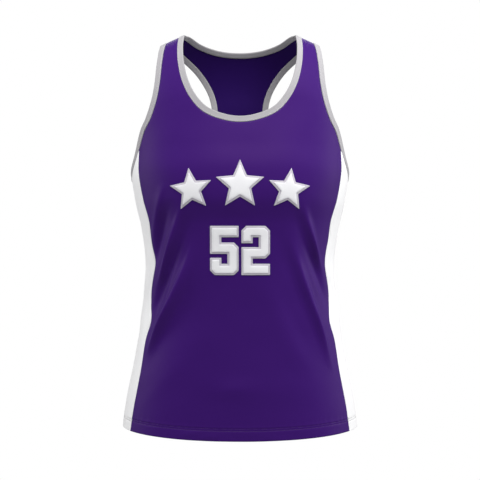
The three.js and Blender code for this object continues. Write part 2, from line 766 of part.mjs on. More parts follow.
// A block figure with one open bowl: a five, or upside down a two.
function digitOutline(row) {
  const { width, height, stroke, chamfer, slot, hook } = digit;
  const bowlTop = height - stroke - slot;
  const points = [
    [0, height], [0, bowlTop - stroke], [width - stroke, bowlTop - stroke],
    [width - stroke, stroke], [stroke, stroke], [stroke, stroke + hook], [0, stroke + hook],
    [0, chamfer], [chamfer, 0], [width - chamfer, 0], [width, chamfer],
    [width, bowlTop - chamfer], [width - chamfer, bowlTop], [stroke, bowlTop],
    [stroke, height - stroke], [width, height - stroke], [width, height],
  ];
  const placed = points.map(([x, z]) => [row.x + x, row.z + (row.flipped ? height - z : z)]);
  return row.flipped ? placed.reverse() : placed;
}

// Moves each side of an anticlockwise outline inwards.
function insetOutline(points, inset) {
  const count = points.length;
  return points.map(([x, z], i) => {
    const [previous, next] = [points[(i + count - 1) % count], points[(i + 1) % count]];
    const before = new THREE.Vector2(x - previous[0], z - previous[1]).normalize();
    const after = new THREE.Vector2(next[0] - x, next[1] - z).normalize();
    const turn = 1 + before.dot(after);
    return [x - (before.y + after.y) * inset / turn, z + (before.x + after.x) * inset / turn];
  });
}

// The part of a raised layer of the front panel that lies inside an outline.
function appliqueGeometry(layer, outline) {
  const shape = new THREE.Shape(outline.map(([x, z]) => new THREE.Vector2(x, z)));
  const cutter = new THREE.ExtrudeGeometry(shape, { depth: 200, bevelEnabled: false });
  cutter.rotateX(Math.PI / 2);
  const cut = layer.intersect(solidOf(cutter)).getMesh();
  const geometry = new THREE.BufferGeometry();
  const positions = new THREE.Float32BufferAttribute(cut.vertProperties, cut.numProp);
  geometry.setAttribute('position', positions);
  geometry.setIndex(new THREE.Uint32BufferAttribute(cut.triVerts, 1));
  return geometry;
}

// ---- the garment ----

const garment = new THREE.Group();

function addPiece(name, geometry, colour, roughness) {
  geometry.computeVertexNormals();
  const material = new THREE.MeshStandardMaterial({ color: colour, roughness, metalness: 0 });
  const mesh = new THREE.Mesh(geometry, material);
  mesh.name = name;
  garment.add(mesh);
}

const knitRoughness = 0.75;
const bindingRoughness = 0.8;
const twillRoughness = 0.6;

const front = frontPatches();
const side = sidePatch();
const frontGeometry = panelGeometry(withMirrored([front.body, front.strap]));
addPiece('front_panel', frontGeometry, colours.purple, knitRoughness);
addPiece('back_panel', panelGeometry(withMirrored(backPatches())), colours.purple, knitRoughness);
addPiece('side_panel_left', panelGeometry([side]), colours.white, knitRoughness);
const rightSide = side.map((row) => row.map(mirrored));
addPiece('side_panel_right', panelGeometry([rightSide]), colours.white, knitRoughness);

const leftArmhole = armholeStations();
const rightArmhole = reversed(leftArmhole).map(mirrored);
const bindings = { neck_binding: neckStations(), armhole_binding_left: leftArmhole,
  armhole_binding_right: rightArmhole };
for (const [name, stations] of Object.entries(bindings)) {
  addPiece(name, bindingGeometry(stations), colours.binding, bindingRoughness);
}

const chest = surfaceOf(withMirrored([front.body]));
const backingOut = twillGap + twill;
const backingLayer = solidOf(wallGeometry(chest, () => backingOut, () => twillGap));
const faceLayer = solidOf(wallGeometry(chest, () => backingOut + backingOut,
  () => backingOut + twillGap));
const outlines = [
  ...starRows.map((row) => [row.name, starOutline(row)]),
  ...digitRows.map((row) => [row.name, digitOutline(row)]),
];
for (const [name, outline] of outlines) {
  const face = insetOutline(outline, twillBorder);
  addPiece(`${name}_backing`, appliqueGeometry(backingLayer, outline), colours.twillBack,
    twillRoughness);
  addPiece(`${name}_face`, appliqueGeometry(faceLayer, face), colours.twillFace, twillRoughness);
}

export default garment;
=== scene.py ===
import math

import bpy
import numpy as np
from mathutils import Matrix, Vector
from mathutils.geometry import delaunay_2d_cdt


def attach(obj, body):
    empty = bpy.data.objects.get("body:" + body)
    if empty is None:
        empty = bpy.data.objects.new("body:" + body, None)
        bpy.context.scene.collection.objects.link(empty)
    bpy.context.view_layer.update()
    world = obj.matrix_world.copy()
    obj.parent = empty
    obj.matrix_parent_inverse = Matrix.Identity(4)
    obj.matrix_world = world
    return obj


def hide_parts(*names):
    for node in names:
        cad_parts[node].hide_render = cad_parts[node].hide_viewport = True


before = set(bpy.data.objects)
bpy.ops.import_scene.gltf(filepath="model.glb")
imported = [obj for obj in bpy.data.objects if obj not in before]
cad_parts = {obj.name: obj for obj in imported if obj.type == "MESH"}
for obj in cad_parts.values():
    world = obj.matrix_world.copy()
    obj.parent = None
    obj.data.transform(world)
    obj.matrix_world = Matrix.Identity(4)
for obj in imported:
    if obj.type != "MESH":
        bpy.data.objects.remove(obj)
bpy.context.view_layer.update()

# A racer-back volleyball tank, filled out as it is worn. Lengths in the tables and in the
# cloth's sums are millimetres; the meshes are made in metres.
mm = 0.001


def addObject(name, data):
    added = bpy.data.objects.new(name, data)
    bpy.context.collection.objects.link(added)
    return added


def table(columns, *rows):       # gives the values of each row the names of their columns
    return [dict(zip(columns.split(), row)) for row in rows]


view = dict(distance=1800, height=-327.2, lens=84.4)
camera = addObject("camera", bpy.data.cameras.new("camera"))
camera.data.lens = view["lens"]
camera.location = (0, -view["distance"] * mm, view["height"] * mm)
camera.rotation_euler = (math.radians(90), 0, 0)
bpy.context.scene.camera = camera
bpy.context.scene.view_settings.view_transform = "Standard"


# Shader and geometry trees

class Wire:                      # a socket that can be written in sums
    def __init__(self, tree, socket):
        self.tree = tree
        self.socket = socket

    def maths(self, operation, *values):
        return self.tree.node("ShaderNodeMath", dict(enumerate(values)), operation=operation)

    def __add__(self, other):
        return self.maths("ADD", self, other)

    def __sub__(self, other):
        return self.maths("SUBTRACT", self, other)

    def __rsub__(self, other):
        return self.maths("SUBTRACT", other, self)

    def __mul__(self, other):
        return self.maths("MULTIPLY", self, other)

    def __truediv__(self, other):
        return self.maths("DIVIDE", self, other)

    def __mod__(self, other):
        return self.maths("FLOORED_MODULO", self, other)

    def __pow__(self, other):
        return self.maths("POWER", self, other)

    def __abs__(self):
        return self.maths("ABSOLUTE", self)

    __radd__ = __add__
    __rmul__ = __mul__

    def wave(self, pitch=1):     # a sine that repeats at each pitch
        return self.maths("SINE", self / pitch * math.tau)


class Tree:                      # adds nodes to a material's or a modifier's tree
    def __init__(self, nodeTree):
        self.nodeTree = nodeTree
        self.nodes = nodeTree.nodes

    def node(self, kind, values=None, output=0, **settings):
        node = self.nodes.new(kind)
        for name, value in settings.items():
            setattr(node, name, value)
        for key, value in (values or {}).items():    # by a socket's identifier, name or number
            named = [socket for socket in node.inputs if socket.identifier == key]
            self.feed(named[0] if named else node.inputs[key], value)
        return Wire(self, node.outputs[output])

    def feed(self, socket, value):
        if isinstance(value, Wire):
            self.nodeTree.links.new(value.socket, socket)
        else:
            socket.default_value = value

    def split(self, vector):
        first = self.node("ShaderNodeSeparateXYZ", {0: vector})
        return [Wire(self, socket) for socket in first.socket.node.outputs]

    def join(self, x, y, z):
        return self.node("ShaderNodeCombineXYZ", {0: x, 1: y, 2: z})

    def blend(self, share, look):
        return self.node("ShaderNodeMix", {
            "Factor_Float": share, "A_Color": (*look["dark"], 1), "B_Color": (*look["light"], 1),
        }, 2, data_type="RGBA")

    def noise(self, vector, scale, detail=2):
        return self.node("ShaderNodeTexNoise", {"Vector": vector, "Scale": scale, "Detail": detail})

    def bump(self, height, strength, distance):
        return self.node("ShaderNodeBump", {
            "Height": height, "Strength": strength, "Distance": distance * mm})

    def objectPlace(self):
        return self.node("ShaderNodeTexCoord", output=3)

    def clothPlace(self):        # with the millimetres across the cloth and along it
        uv = self.node("ShaderNodeUVMap", uv_map="cloth")
        across, along, _ = self.split(uv)
        return uv, across / mm, along / mm


def makeFinish(name, numbers, build):
    finish = bpy.data.materials.new(name)
    finish.use_nodes = True
    tree = Tree(finish.node_tree)
    surface = tree.nodes["Principled BSDF"]
    for socket, value in {**numbers, **build(tree)}.items():
        tree.feed(surface.inputs[socket], value)
    return finish


# Finishes. The shade goes from dark to light. Relief is the bump's strength, and bump its height.
# Fuzz, fleck, cloud and patch are scales of noise, from the finest to the broadest.

interlock = dict(wale=1.15, course=0.85, lean=0.45, bump=0.16, fuzz=2600, fleck=900, patch=9)
knits = dict(
    purpleKnit=dict(
        relief=0.4, roughness=0.5, sheen=0.02, gloss=0.1,
        dark=(0.029, 0.0052, 0.106), light=(0.036, 0.0068, 0.129),
        sheenTint=(0.6, 0.26, 1.0), glossTint=(1, 0.6, 0.65)),
    purpleInside=dict(                                   # the knit's wrong side, painted darker than the outside as painted shade
        relief=0.3, roughness=0.7, sheen=0, gloss=0.05,
        dark=(0.013, 0.0026, 0.062), light=(0.018, 0.0036, 0.08),
        sheenTint=(1, 1, 1), glossTint=(1, 1, 1)),
    whiteKnit=dict(
        relief=0.35, roughness=0.62, sheen=0.05, gloss=0.2,
        dark=(0.72, 0.72, 0.73), light=(0.81, 0.81, 0.815),
        sheenTint=(1, 1, 1), glossTint=(1, 1, 1)),
)


def knitFinish(name, look):
    def build(tree):
        uv, across, along = tree.clothPlace()
        side = abs((across / interlock["wale"] % 1) * 2 - 1)    # 0 in a wale's middle, 1 between two
        loop = (along / interlock["course"] + side * interlock["lean"]).wave()
        fuzz = tree.noise(uv, interlock["fuzz"], 3)
        height = (1 - side ** 2) * 0.6 + loop * 0.22 + fuzz * 0.5
        patchy = tree.noise(tree.objectPlace(), interlock["patch"])
        fleck = tree.noise(uv, interlock["fleck"])
        # the colour also follows the knit's relief, painted darker in its hollows as painted shade
        return {
            "Base Color": tree.blend(patchy * 0.2 + fleck * 0.5 + height * 0.3, look),
            "Roughness": look["roughness"] - 0.08 + patchy * 0.06 + fleck * 0.1,
            "Normal": tree.bump(height, look["relief"], interlock["bump"]),
        }
    numbers = {"Sheen Weight": look["sheen"], "Sheen Roughness": 0.35,
               "Sheen Tint": (*look["sheenTint"], 1), "Specular IOR Level": look["gloss"],
               "Specular Tint": (*look["glossTint"], 1)}
    return makeFinish(name, numbers, build)


twillWeave = dict(
    pitch=1.0, lean=0.7, threadPitch=0.45, threadLean=0.3, relief=0.5, bump=0.12, fuzz=2400, cloud=60)
twills = dict(
    greyTwill=dict(roughness=0.6, dark=(0.43, 0.4, 0.46), light=(0.56, 0.53, 0.59)),
    whiteTwill=dict(roughness=0.5, dark=(0.7, 0.7, 0.72), light=(0.8, 0.8, 0.82)),
)


def twillFinish(name, look):
    def build(tree):
        uv, across, along = tree.clothPlace()
        ribs = (across + along * twillWeave["lean"]).wave(twillWeave["pitch"])
        thread = (along - across * twillWeave["threadLean"]).wave(twillWeave["threadPitch"])
        fuzz = tree.noise(uv, twillWeave["fuzz"])
        height = ribs * 0.5 + thread * 0.12 + fuzz * 0.3
        # the colour also follows the twill's relief, painted darker in its hollows as painted shade
        shade = tree.noise(uv, twillWeave["cloud"], 3) * 0.6 + height * 0.2 + 0.15
        return {
            "Base Color": tree.blend(shade, look),
            "Roughness": look["roughness"] - 0.08 + fuzz * 0.16,
            "Normal": tree.bump(height, twillWeave["relief"], twillWeave["bump"]),
        }
    return makeFinish(name, {"Sheen Weight": 0.08, "Specular IOR Level": 0.45}, build)


ribKnits = dict(
    greyBinding=dict(
        pitch=1.3, coursePitch=0.7, relief=0.55, bump=0.18, fuzz=2200, cloud=45,
        edges=(1, 9.8, 12.4, 21), edgeWidth=1,           # painted highlights: paler bands at the rims and where the knit turns over
        dark=(0.108, 0.104, 0.11), light=(0.312, 0.303, 0.316)),
)


def ribFinish(name, look):
    def build(tree):
        uv, around, along = tree.clothPlace()
        fuzz = tree.noise(uv, look["fuzz"], 3)
        height = along.wave(look["pitch"]) * 0.45 + around.wave(look["coursePitch"]) * 0.12 + fuzz * 0.4
        # painted highlights: the binding is painted paler in bands along its rims and over its fold
        edge = 0
        for place in look["edges"]:
            edge = edge + (1 - abs(around - place) / look["edgeWidth"]).maths("MAXIMUM", 0)
        # the colour also follows the rib's relief, painted darker in its hollows as painted shade
        shade = tree.noise(uv, look["cloud"], 3) * 0.3 + height * 0.15 + edge * 0.6 + 0.1
        return {
            "Base Color": tree.blend(shade, look),
            "Roughness": 0.66 + fuzz * 0.18,
            "Normal": tree.bump(height, look["relief"], look["bump"]),
        }
    numbers = {"Sheen Weight": 0.04, "Sheen Roughness": 0.5, "Specular IOR Level": 0.2}
    return makeFinish(name, numbers, build)


yarn = dict(twist=0.45, relief=0.4, bump=0.08, fuzz=1800)
threads = dict(
    purpleThread=dict(dark=(0.05, 0.018, 0.13), light=(0.11, 0.045, 0.24)),
    whiteThread=dict(dark=(0.7, 0.7, 0.72), light=(0.86, 0.86, 0.88)),
    greyThread=dict(dark=(0.42, 0.42, 0.44), light=(0.66, 0.66, 0.68)),
    shadeThread=dict(dark=(0.1, 0.1, 0.11), light=(0.2, 0.2, 0.21)),    # the hem's, on the white
)


def threadFinish(name, look):
    def build(tree):
        place = tree.objectPlace()
        x, y, z = tree.split(place)
        twist = (x + y + z).wave(yarn["twist"] * mm)
        fuzz = tree.noise(place, yarn["fuzz"])
        # the colour also follows the thread's twist, painted darker in its grooves as painted shade
        return {
            "Base Color": tree.blend(fuzz * 0.7 + twist * 0.15 + 0.1, look),
            "Roughness": 0.42 + fuzz * 0.2,
            "Normal": tree.bump(twist * 0.5 + fuzz, yarn["relief"], yarn["bump"]),
        }
    return makeFinish(name, {"Sheen Weight": 0.1, "Specular IOR Level": 0.5}, build)


finishes = {name: make(name, look)
            for make, looks in [(knitFinish, knits), (twillFinish, twills),
                                (ribFinish, ribKnits), (threadFinish, threads)]
            for name, look in looks.items()}
print("finishes made")


# The body that the cloth lies on. A place on it is an angle round the body, 0 at the front
# centre and 90 at the wearer's left, and a level, measured down the cloth from the shoulders.

body = dict(
    roundness=2.35,
    usualRadius=170,
    shoulderArch=110,                     # drop over which the shoulders round into the chest
    ridgeSlope=0.47, ridgeLevelAt=95.8, neckRound=40, ridgeFadeFrom=60, ridgeFadeTo=300,
    sections=table(                       # half the width, and the depths before and behind
        "z half front back",
        (0, 152, 92, 88),
        (-60, 165, 92, 93),
        (-130, 171, 103, 98),
        (-180, 171, 114.5, 103),
        (-220, 172.8, 124, 105),
        (-263, 167, 124.5, 102),
        (-300, 160, 115, 96),
        (-340, 152.5, 110.5, 88),
        (-375, 150, 108.5, 82),
        (-420, 151, 107.5, 84),
        (-460, 158, 109, 92),
        (-520, 169, 113.5, 106),
        (-580, 181, 119, 116),
        (-640, 189, 125, 120)),
)
archEnd = body["shoulderArch"] * math.pi / 2
millimetresPerDegree = 2.7


def smoothStep(value, start, end):
    t = np.clip((value - start) / (end - start), 0, 1)
    return t * t * (3 - 2 * t)


def hump(distance, width):                # 1 at no distance, and smoothly down to 0
    return np.exp(-(distance / width) ** 2)


def runningLength(points, axis=0):        # lengths along a line of points, or a grid's lines
    steps = np.linalg.norm(np.diff(points, axis=axis), axis=-1)
    return np.insert(np.cumsum(steps, axis=axis), 0, 0, axis=axis)


def readAtHeight(rows, name, z):          # a column of a table of heights, read smoothly
    heights = np.array([row["z"] for row in rows[::-1]], float)
    values = np.array([row[name] for row in rows[::-1]], float)
    last = len(rows) - 1
    index = np.arange(last + 1)
    after, before = np.minimum(index + 1, last), np.maximum(index - 1, 0)
    slopes = (values[after] - values[before]) / (heights[after] - heights[before])
    z = np.clip(z, heights[0], heights[-1])
    i = np.clip(np.searchsorted(heights, z, side="right") - 1, 0, last - 1)
    step = heights[i + 1] - heights[i]
    t = (z - heights[i]) / step
    start, end = values[i], values[i + 1]
    startSlope, endSlope = slopes[i] * step, slopes[i + 1] * step
    return start + t * (startSlope + t * (3 * (end - start) - 2 * startSlope - endSlope
                                          + t * (2 * (start - end) + startSlope + endSlope)))


def dropAt(level):
    arch = body["shoulderArch"]
    return np.where(level > archEnd, arch + level - archEnd, arch * (1 - np.cos(level / arch)))


def ridgeHeight(x, level):
    fade = 1 - smoothStep(level, body["ridgeFadeFrom"], body["ridgeFadeTo"])
    return body["ridgeSlope"] * (body["ridgeLevelAt"] - np.hypot(x, body["neckRound"])) * fade


def bodyPoint(angle, level):
    z = -dropAt(level)
    across = np.sin(np.radians(angle))
    x = readAtHeight(body["sections"], "half", z) * across
    depth = np.where(np.cos(np.radians(angle)) > 0,
                     -readAtHeight(body["sections"], "front", z),
                     readAtHeight(body["sections"], "back", z))
    arch = np.where(level > archEnd, 1, np.sin(level / body["shoulderArch"]))
    curve = np.maximum(1 - np.abs(across) ** body["roundness"], 0) ** (1 / body["roundness"])
    return np.stack([x, depth * arch * curve, z + ridgeHeight(x, level)], axis=-1)


def unit(vectors):
    return vectors / np.maximum(np.linalg.norm(vectors, axis=-1, keepdims=True), 1e-9)


def normalOf(pointAt, angle, level, turn=0.2, step=0.4):
    around = pointAt(angle + turn, level) - pointAt(angle - turn, level)
    down = pointAt(angle, level + step) - pointAt(angle, level - step)
    return unit(np.cross(down, around))


# Long folds run from one place to another, each an angle and a z. They bow by some degrees in
# the middle and are highest at their peak, a share of the way. Each flank has a width at the
# start and one at the end: less is the flank towards the smaller angles. A negative height is
# a trough. Folds across have a reach in degrees and rise by some millimetres at each degree.
foldTaper = 1.5                           # the more, the later a long fold rises
longColumns = "start end bow peak less more height"
acrossColumns = "angle z reach rise flank height"
folds = dict(
    long=table(
        longColumns,
        # front, wearer's right
        ((-42, -238), (-64, -352), 0, 0.45, (8, 6), (7, 6), 3.5),
        ((-38, -262), (-63, -378), -0.5, 0.5, (8, 7), (8, 7), -5),
        ((-30, -262), (-58.5, -400), 1, 0.56, (6, 5), (12, 12), 6),
        ((-27, -286), (-64, -490), -3.5, 0.5, (14, 10), (9, 7), -6),
        ((-21, -296), (-62, -506), 0.5, 0.66, (7, 5), (14, 13), 6.5),
        ((-20, -345), (-61, -542), 1.5, 0.56, (17, 14), (32, 24), -4),
        ((-8, -420), (-57, -590), 3, 0.6, (18, 15), (26, 22), 1),
        # front, wearer's left
        ((33.5, -258), (58, -380), -2, 0.6, (12, 11), (7, 5), 6),
        ((29.5, -276), (65, -444), 0.5, 0.5, (9, 7), (11, 10), -4.5),
        ((24, -290), (57, -534), 3, 0.6, (12, 12), (10, 7), 7),
        ((23, -306), (56, -520), -3, 0.5, (17, 12), (14, 12), -2.2),
        ((12, -350), (42, -560), -2, 0.55, (22, 22), (16, 16), 1.5),
        # sides
        ((-77, -256), (-98, -412), -3, 0.5, (13, 11), (12, 10), -4.5),
        ((-70, -330), (-92, -480), 2, 0.5, (12, 10), (14, 12), 3.5),
        ((80, -272), (99, -426), 2, 0.5, (12, 11), (14, 10), -4.5),
        ((72, -350), (95, -492), -2, 0.55, (14, 12), (11, 10), 3.5),
        # back
        ((133, -236), (110, -452), 2, 0.55, (10, 11), (18, 14), 7),
        ((-137, -246), (-111, -464), -3, 0.6, (17, 15), (11, 10), 7.5),
        ((147, -268), (119, -480), 3, 0.5, (16, 15), (20, 16), -4.5),
        ((-150, -280), (-121, -500), -2, 0.5, (20, 16), (16, 14), -4.5),
        ((157, -330), (128, -540), -2, 0.5, (16, 16), (24, 20), 3.5),
        ((-156, -352), (-130, -556), 3, 0.45, (22, 20), (16, 16), 3)),
    across=table(
        acrossColumns,
        (2, -549, 26, -0.15, 20, 1.4),
        (172, -384, 34, 0.25, 13, 4.5),
        (-174, -424, 30, -0.3, 12, 4),
        (178, -462, 26, 0.12, 14, 3)),
)

# Finer creases, which the solids leave out
creases = dict(
    long=table(
        longColumns,
        # crests, wearer's right
        ((-25, -316), (-61, -506), 0.5, 0.66, (3, 2.5), (10, 9), 3.4),
        ((-24, -312), (-61, -510), 0.5, 0.58, (3.5, 3), (36, 32), 3.6),
        ((-31, -266), (-59, -400), 1, 0.54, (3, 3), (6, 6), 2.6),
        # dents beside the side seams
        ((-66, -345), (-71, -432), 0.5, 0.5, (4, 4), (3, 3), -1.8),
        ((-70, -415), (-66.5, -492), 0, 0.5, (4, 4), (3, 3), -1.5),
        ((66, -342), (71, -430), -0.5, 0.55, (3, 3), (4, 4), -2),
        ((70, -412), (67, -478), 0, 0.5, (3, 3), (4, 4), -1.6),
        ((-52, -380), (-64, -450), 0, 0.5, (8, 8), (8, 8), -2.5),
        # crests, wearer's left
        ((35.2, -270), (57, -372), -1.8, 0.55, (5, 5), (4, 3), 2.4),
        ((29.3, -320), (56.5, -526), 2.6, 0.62, (9, 8), (3, 2.5), 3.4),
        ((28, -360), (51, -515), 0, 0.5, (15, 15), (11, 11), 2.8)),
    across=table(
        acrossColumns,
        (-4, -552, 9, 0.3, 11, 0.9),
        (-24, -618, 6, 0.4, 4, 0.7),
        (-15, -622, 7, 0.3, 3.5, 0.8),
        (-7, -626, 5, 0.2, 4, 0.5),
        (17, -624, 8, -0.3, 4, 0.5)),
)


def turnTo(angle):                        # the same angle, between -180 and 180
    return (angle + 180) % 360 - 180


def heightOf(rows, angle, z):
    height = np.zeros_like(z)
    for row in rows["long"]:
        (fromAngle, fromZ), (toAngle, toZ) = row["start"], row["end"]
        drop, turn = fromZ - toZ, toAngle - fromAngle
        t = np.clip((fromZ - z) / drop, 0, 1)
        middle = fromAngle + turn * t + row["bow"] * 4 * t * (1 - t)
        slant = math.hypot(1, turn * millimetresPerDegree / drop)
        across = turnTo(angle - middle) * millimetresPerDegree / slant
        less, more = (start + (end - start) * t for start, end in (row["less"], row["more"]))
        lengthwise = math.pi * t ** (math.log(0.5) / math.log(row["peak"]))
        swell = np.clip(np.sin(lengthwise), 0, 1) ** foldTaper
        height += row["height"] * swell * hump(across, np.where(across < 0, less, more))
    for row in rows["across"]:
        offset = turnTo(angle - row["angle"])
        across = z - row["z"] - row["rise"] * offset
        height += row["height"] * hump(offset, row["reach"]) * hump(across, row["flank"])
    return height


unevenness = dict(seed=5, waves=14, height=0.06, longest=170, shortest=45, startLevel=60, fullLevel=200)
waveRandom = np.random.default_rng(unevenness["seed"])
waveLengths = waveRandom.uniform(unevenness["shortest"], unevenness["longest"], unevenness["waves"])
waveTurns = waveRandom.uniform(0, math.tau, unevenness["waves"])
waveStarts = waveRandom.uniform(0, math.tau, unevenness["waves"])


def restlessness(angle, z):               # the cloth is nowhere quite smooth
    height = np.zeros_like(z)
    for length, turn, start in zip(waveLengths, waveTurns, waveStarts):
        # a whole number of crests, so that they meet behind
        crests = np.round(math.cos(turn) * math.tau * body["usualRadius"] / length)
        height += np.sin(crests * np.radians(angle) + math.sin(turn) * z * math.tau / length + start)
    return height * unevenness["height"]


def foldedPoint(angle, level):
    point = bodyPoint(angle, level)
    z = point[..., 2]
    uneven = restlessness(angle, z) * smoothStep(level, unevenness["startLevel"], unevenness["fullLevel"])
    height = heightOf(folds, angle, z) + heightOf(creases, angle, z) + uneven
    return point + normalOf(bodyPoint, angle, level) * height[..., None]


def clothPoints(places, offset=0):
    angle, level = places[..., 0], places[..., 1]
    normal = normalOf(foldedPoint, angle, level)
    return foldedPoint(angle, level) + normal * np.asarray(offset)[..., None], normal


# Cut edges, as places on the body: x and z on the curved edges, angle and z at the sides.
# The ridge is the line over the tops of the shoulders.
edges = dict(
    hemZ=-621, frontHemDrop=7, backHemDrop=5,
    seamGap=0.06,
    neckRidgeX=96.1, armholeRidgeX=115.9,
    frontSeamTopZ=-187.8, backSeamTopZ=-234.4,
    frontNeck=[
        (0, -149.4), (15.7, -148.1), (31.5, -144.2), (44.3, -139.3), (55.1, -133.2), (64.9, -124.6),
        (74.7, -112.1), (82.6, -98.3), (89.6, -80.4), (94.1, -61.5), (96.8, -41.5), (97.4, -19.4)],
    backNeck=[
        (88.2, -4.2), (76.8, -9.8), (65.1, -14.7), (49.3, -19.2), (32.6, -22.4), (15.8, -24), (0, -24.5)],
    frontArmhole=[
        (119.4, -25.5), (121.6, -46.4), (123.9, -80.1), (128.8, -111.7), (138.6, -141.4), (148.9, -161.4)],
    underarm=[(71.5, -207.5), (79.5, -225.7), (90, -235.9), (102, -238.4)],
    backArmhole=[
        (131.5, -226.5), (106.7, -214.6), (82.9, -199.7), (63.2, -181), (48.9, -158.3), (40.6, -134.6),
        (38.1, -112.1), (42, -88.5), (51.9, -66.8), (67.9, -45), (91.7, -24.8), (106.3, -14.4)],
    frontSeam=table(
        "z angle",
        (-192, 66.5), (-235, 65.4), (-265, 64.3), (-298, 61.2), (-327, 62.4), (-365, 61.2),
        (-405, 67), (-428, 66), (-452, 62.8), (-482, 65.2), (-545, 64.4), (-640, 66)),
    backSeam=table(
        "z angle",
        (-192, 115.5), (-290, 116.5), (-375, 118), (-470, 116.5), (-640, 114.5)),
)


def findLevel(isAbove, low=0.0, high=900.0, halvings=40):    # the level where a height is passed
    for _ in range(halvings):
        middle = (low + high) / 2
        low, high = (middle, high) if isAbove(middle) else (low, middle)
    return (low + high) / 2


def placeAtX(x, z, onBack=False):
    level = findLevel(lambda middle: ridgeHeight(x, middle) - dropAt(middle) > z)
    half = readAtHeight(body["sections"], "half", -dropAt(level))
    angle = math.degrees(math.asin(x / half))
    return np.array([180 - angle if onBack else angle, level])


def placeAtAngle(angle, z):
    return np.array([angle, findLevel(lambda middle: bodyPoint(angle, middle)[2] > z)])


def ridgePlace(x):
    return np.array([math.degrees(math.asin(x / body["sections"][0]["half"])), 0.0])


def overShoulder(place):                  # the same place, seen from the far side
    return np.array([180 - place[0], -place[1]])


def mirrored(places):
    return places * (-1, 1)


def hemPlace(angle):
    facing = math.cos(math.radians(angle))
    drop = edges["frontHemDrop"] if facing > 0 else edges["backHemDrop"]
    return placeAtAngle(angle, edges["hemZ"] - drop * facing * facing)


def seamPlace(name, z):
    return placeAtAngle(float(readAtHeight(edges[name], "angle", z)), z)


def readAlong(places, position):          # a smooth curve through a list of places
    last = len(places) - 1
    i = min(int(position), last - 1)
    t = position - i
    a, b, c, d = (places[min(max(k, 0), last)] for k in (i - 1, i, i + 1, i + 2))
    return b + 0.5 * t * (c - a + t * (2 * a - 5 * b + 4 * c - d + t * (3 * (b - c) + d - a)))


def spread(placeAt, shares, samples=161):    # places at the given shares of a curve's length
    fine = np.linspace(0, 1, samples)
    places = np.array([placeAt(t) for t in fine])
    lengths = runningLength(bodyPoint(places[:, 0], places[:, 1]))
    found = np.interp(shares(lengths[-1]) * lengths[-1], lengths, fine)
    return np.array([placeAt(t) for t in found])


def straight(start, end):
    return lambda t: start + (end - start) * t


# The neck's edge runs from the front centre to the back centre, and the armhole's from the
# ridge down the front, under the arm and up behind. Each list has one place more before its
# start and after its end. Positions in the lists are numbers from 0.
frontNeckPlaces = [placeAtX(*row) for row in edges["frontNeck"]]
backNeckPlaces = [overShoulder(placeAtX(*row, onBack=True)) for row in edges["backNeck"]]
neckPlaces = [mirrored(frontNeckPlaces[1]), *frontNeckPlaces, ridgePlace(edges["neckRidgeX"]),
              *backNeckPlaces, mirrored(backNeckPlaces[-2])]
neckAt = dict(frontCentre=1, frontStrap=7, ridge=13, backStrap=16, backCentre=20)

armholeRidge = ridgePlace(edges["armholeRidgeX"])
frontArmholePlaces = [placeAtX(*row) for row in edges["frontArmhole"]]
backArmholePlaces = [placeAtX(*row, onBack=True) for row in edges["backArmhole"]]
armholePlaces = [overShoulder(backArmholePlaces[-1]), armholeRidge, *frontArmholePlaces,
                 seamPlace("frontSeam", edges["frontSeamTopZ"]),
                 *[placeAtAngle(*row) for row in edges["underarm"]],
                 seamPlace("backSeam", edges["backSeamTopZ"]),
                 *backArmholePlaces, overShoulder(armholeRidge), overShoulder(frontArmholePlaces[0])]
armholeAt = dict(ridge=1, strap=5, frontSeam=8, backSeam=13, yoke=17.6, backStrap=24, backRidge=26)


def neckStretch(start, end):
    position = straight(neckAt[start], neckAt[end])

    def placeAt(t):
        place = readAlong(neckPlaces, position(t))
        return overShoulder(place) if place[1] < 0 else place
    return placeAt


def armholeStretch(start, end):
    position = straight(armholeAt[start], armholeAt[end])
    return lambda t: readAlong(armholePlaces, position(t))


def halfGapAngle(place):                  # half the seam gap, as degrees at a place
    width = np.linalg.norm(bodyPoint(place[0] + 0.5, place[1]) - bodyPoint(place[0] - 0.5, place[1]))
    return edges["seamGap"] / 2 / width


def armholeBesideSeam(name, side, nudge=0.01):
    position = armholeAt[name]
    before, after = (readAlong(armholePlaces, position + shift) for shift in (-nudge, nudge))
    rate = (after[0] - before[0]) / (2 * nudge)
    return readAlong(armholePlaces, position + side * halfGapAngle(before) / rate)


# Rows and columns of the cloth's mesh, closer together at the hem, the seams and the edges

weave = dict(
    hemRows=[0, 3, 6.5, 10, 12.5, 13.8, 14.5, 15.2, 15.9, 16.8, 17.7, 18.4, 19.1, 20, 22],
    seamColumns=[0, 0.5, 1.1, 1.9, 3.2],  # distances from a seam
    bodyRows=170, armholeRows=30, strapRows=46, yokeRows=42, backStrapRows=24,
    neckColumns=42, strapColumns=36, sideColumns=34, backNeckColumns=26, backStrapColumns=12,
    backArmholeColumns=34,
    sideWidth=160.0,                      # between the seams at the hem, nearly enough
)


def even(count):
    return lambda total: np.linspace(0, 1, count + 1)


def upFromHem(count):
    def shares(total):
        hemRows = np.array(weave["hemRows"])
        rest = np.linspace(hemRows[-1], total, count - len(hemRows) + 1)[1:]
        return np.concatenate([hemRows, rest]) / total
    return shares


def towardsEdge(count, ends=1):           # even columns, crowded at one end or at both
    def shares(total):
        near = np.array(weave["seamColumns"])[::-1]
        first = near[::-1] if ends == 2 else np.array([0.0])
        middle = np.linspace(first[-1], total - near[0], count - len(near) - len(first) + 3)[1:-1]
        return np.concatenate([first, middle, total - near]) / total
    return shares


def fromEdge(count):
    return lambda total: (1 - towardsEdge(count)(total))[::-1]


def lengthShares(places):                 # how far along a line each of its places is
    lengths = runningLength(bodyPoint(places[:, 0], places[:, 1]))
    return lengths / lengths[-1]


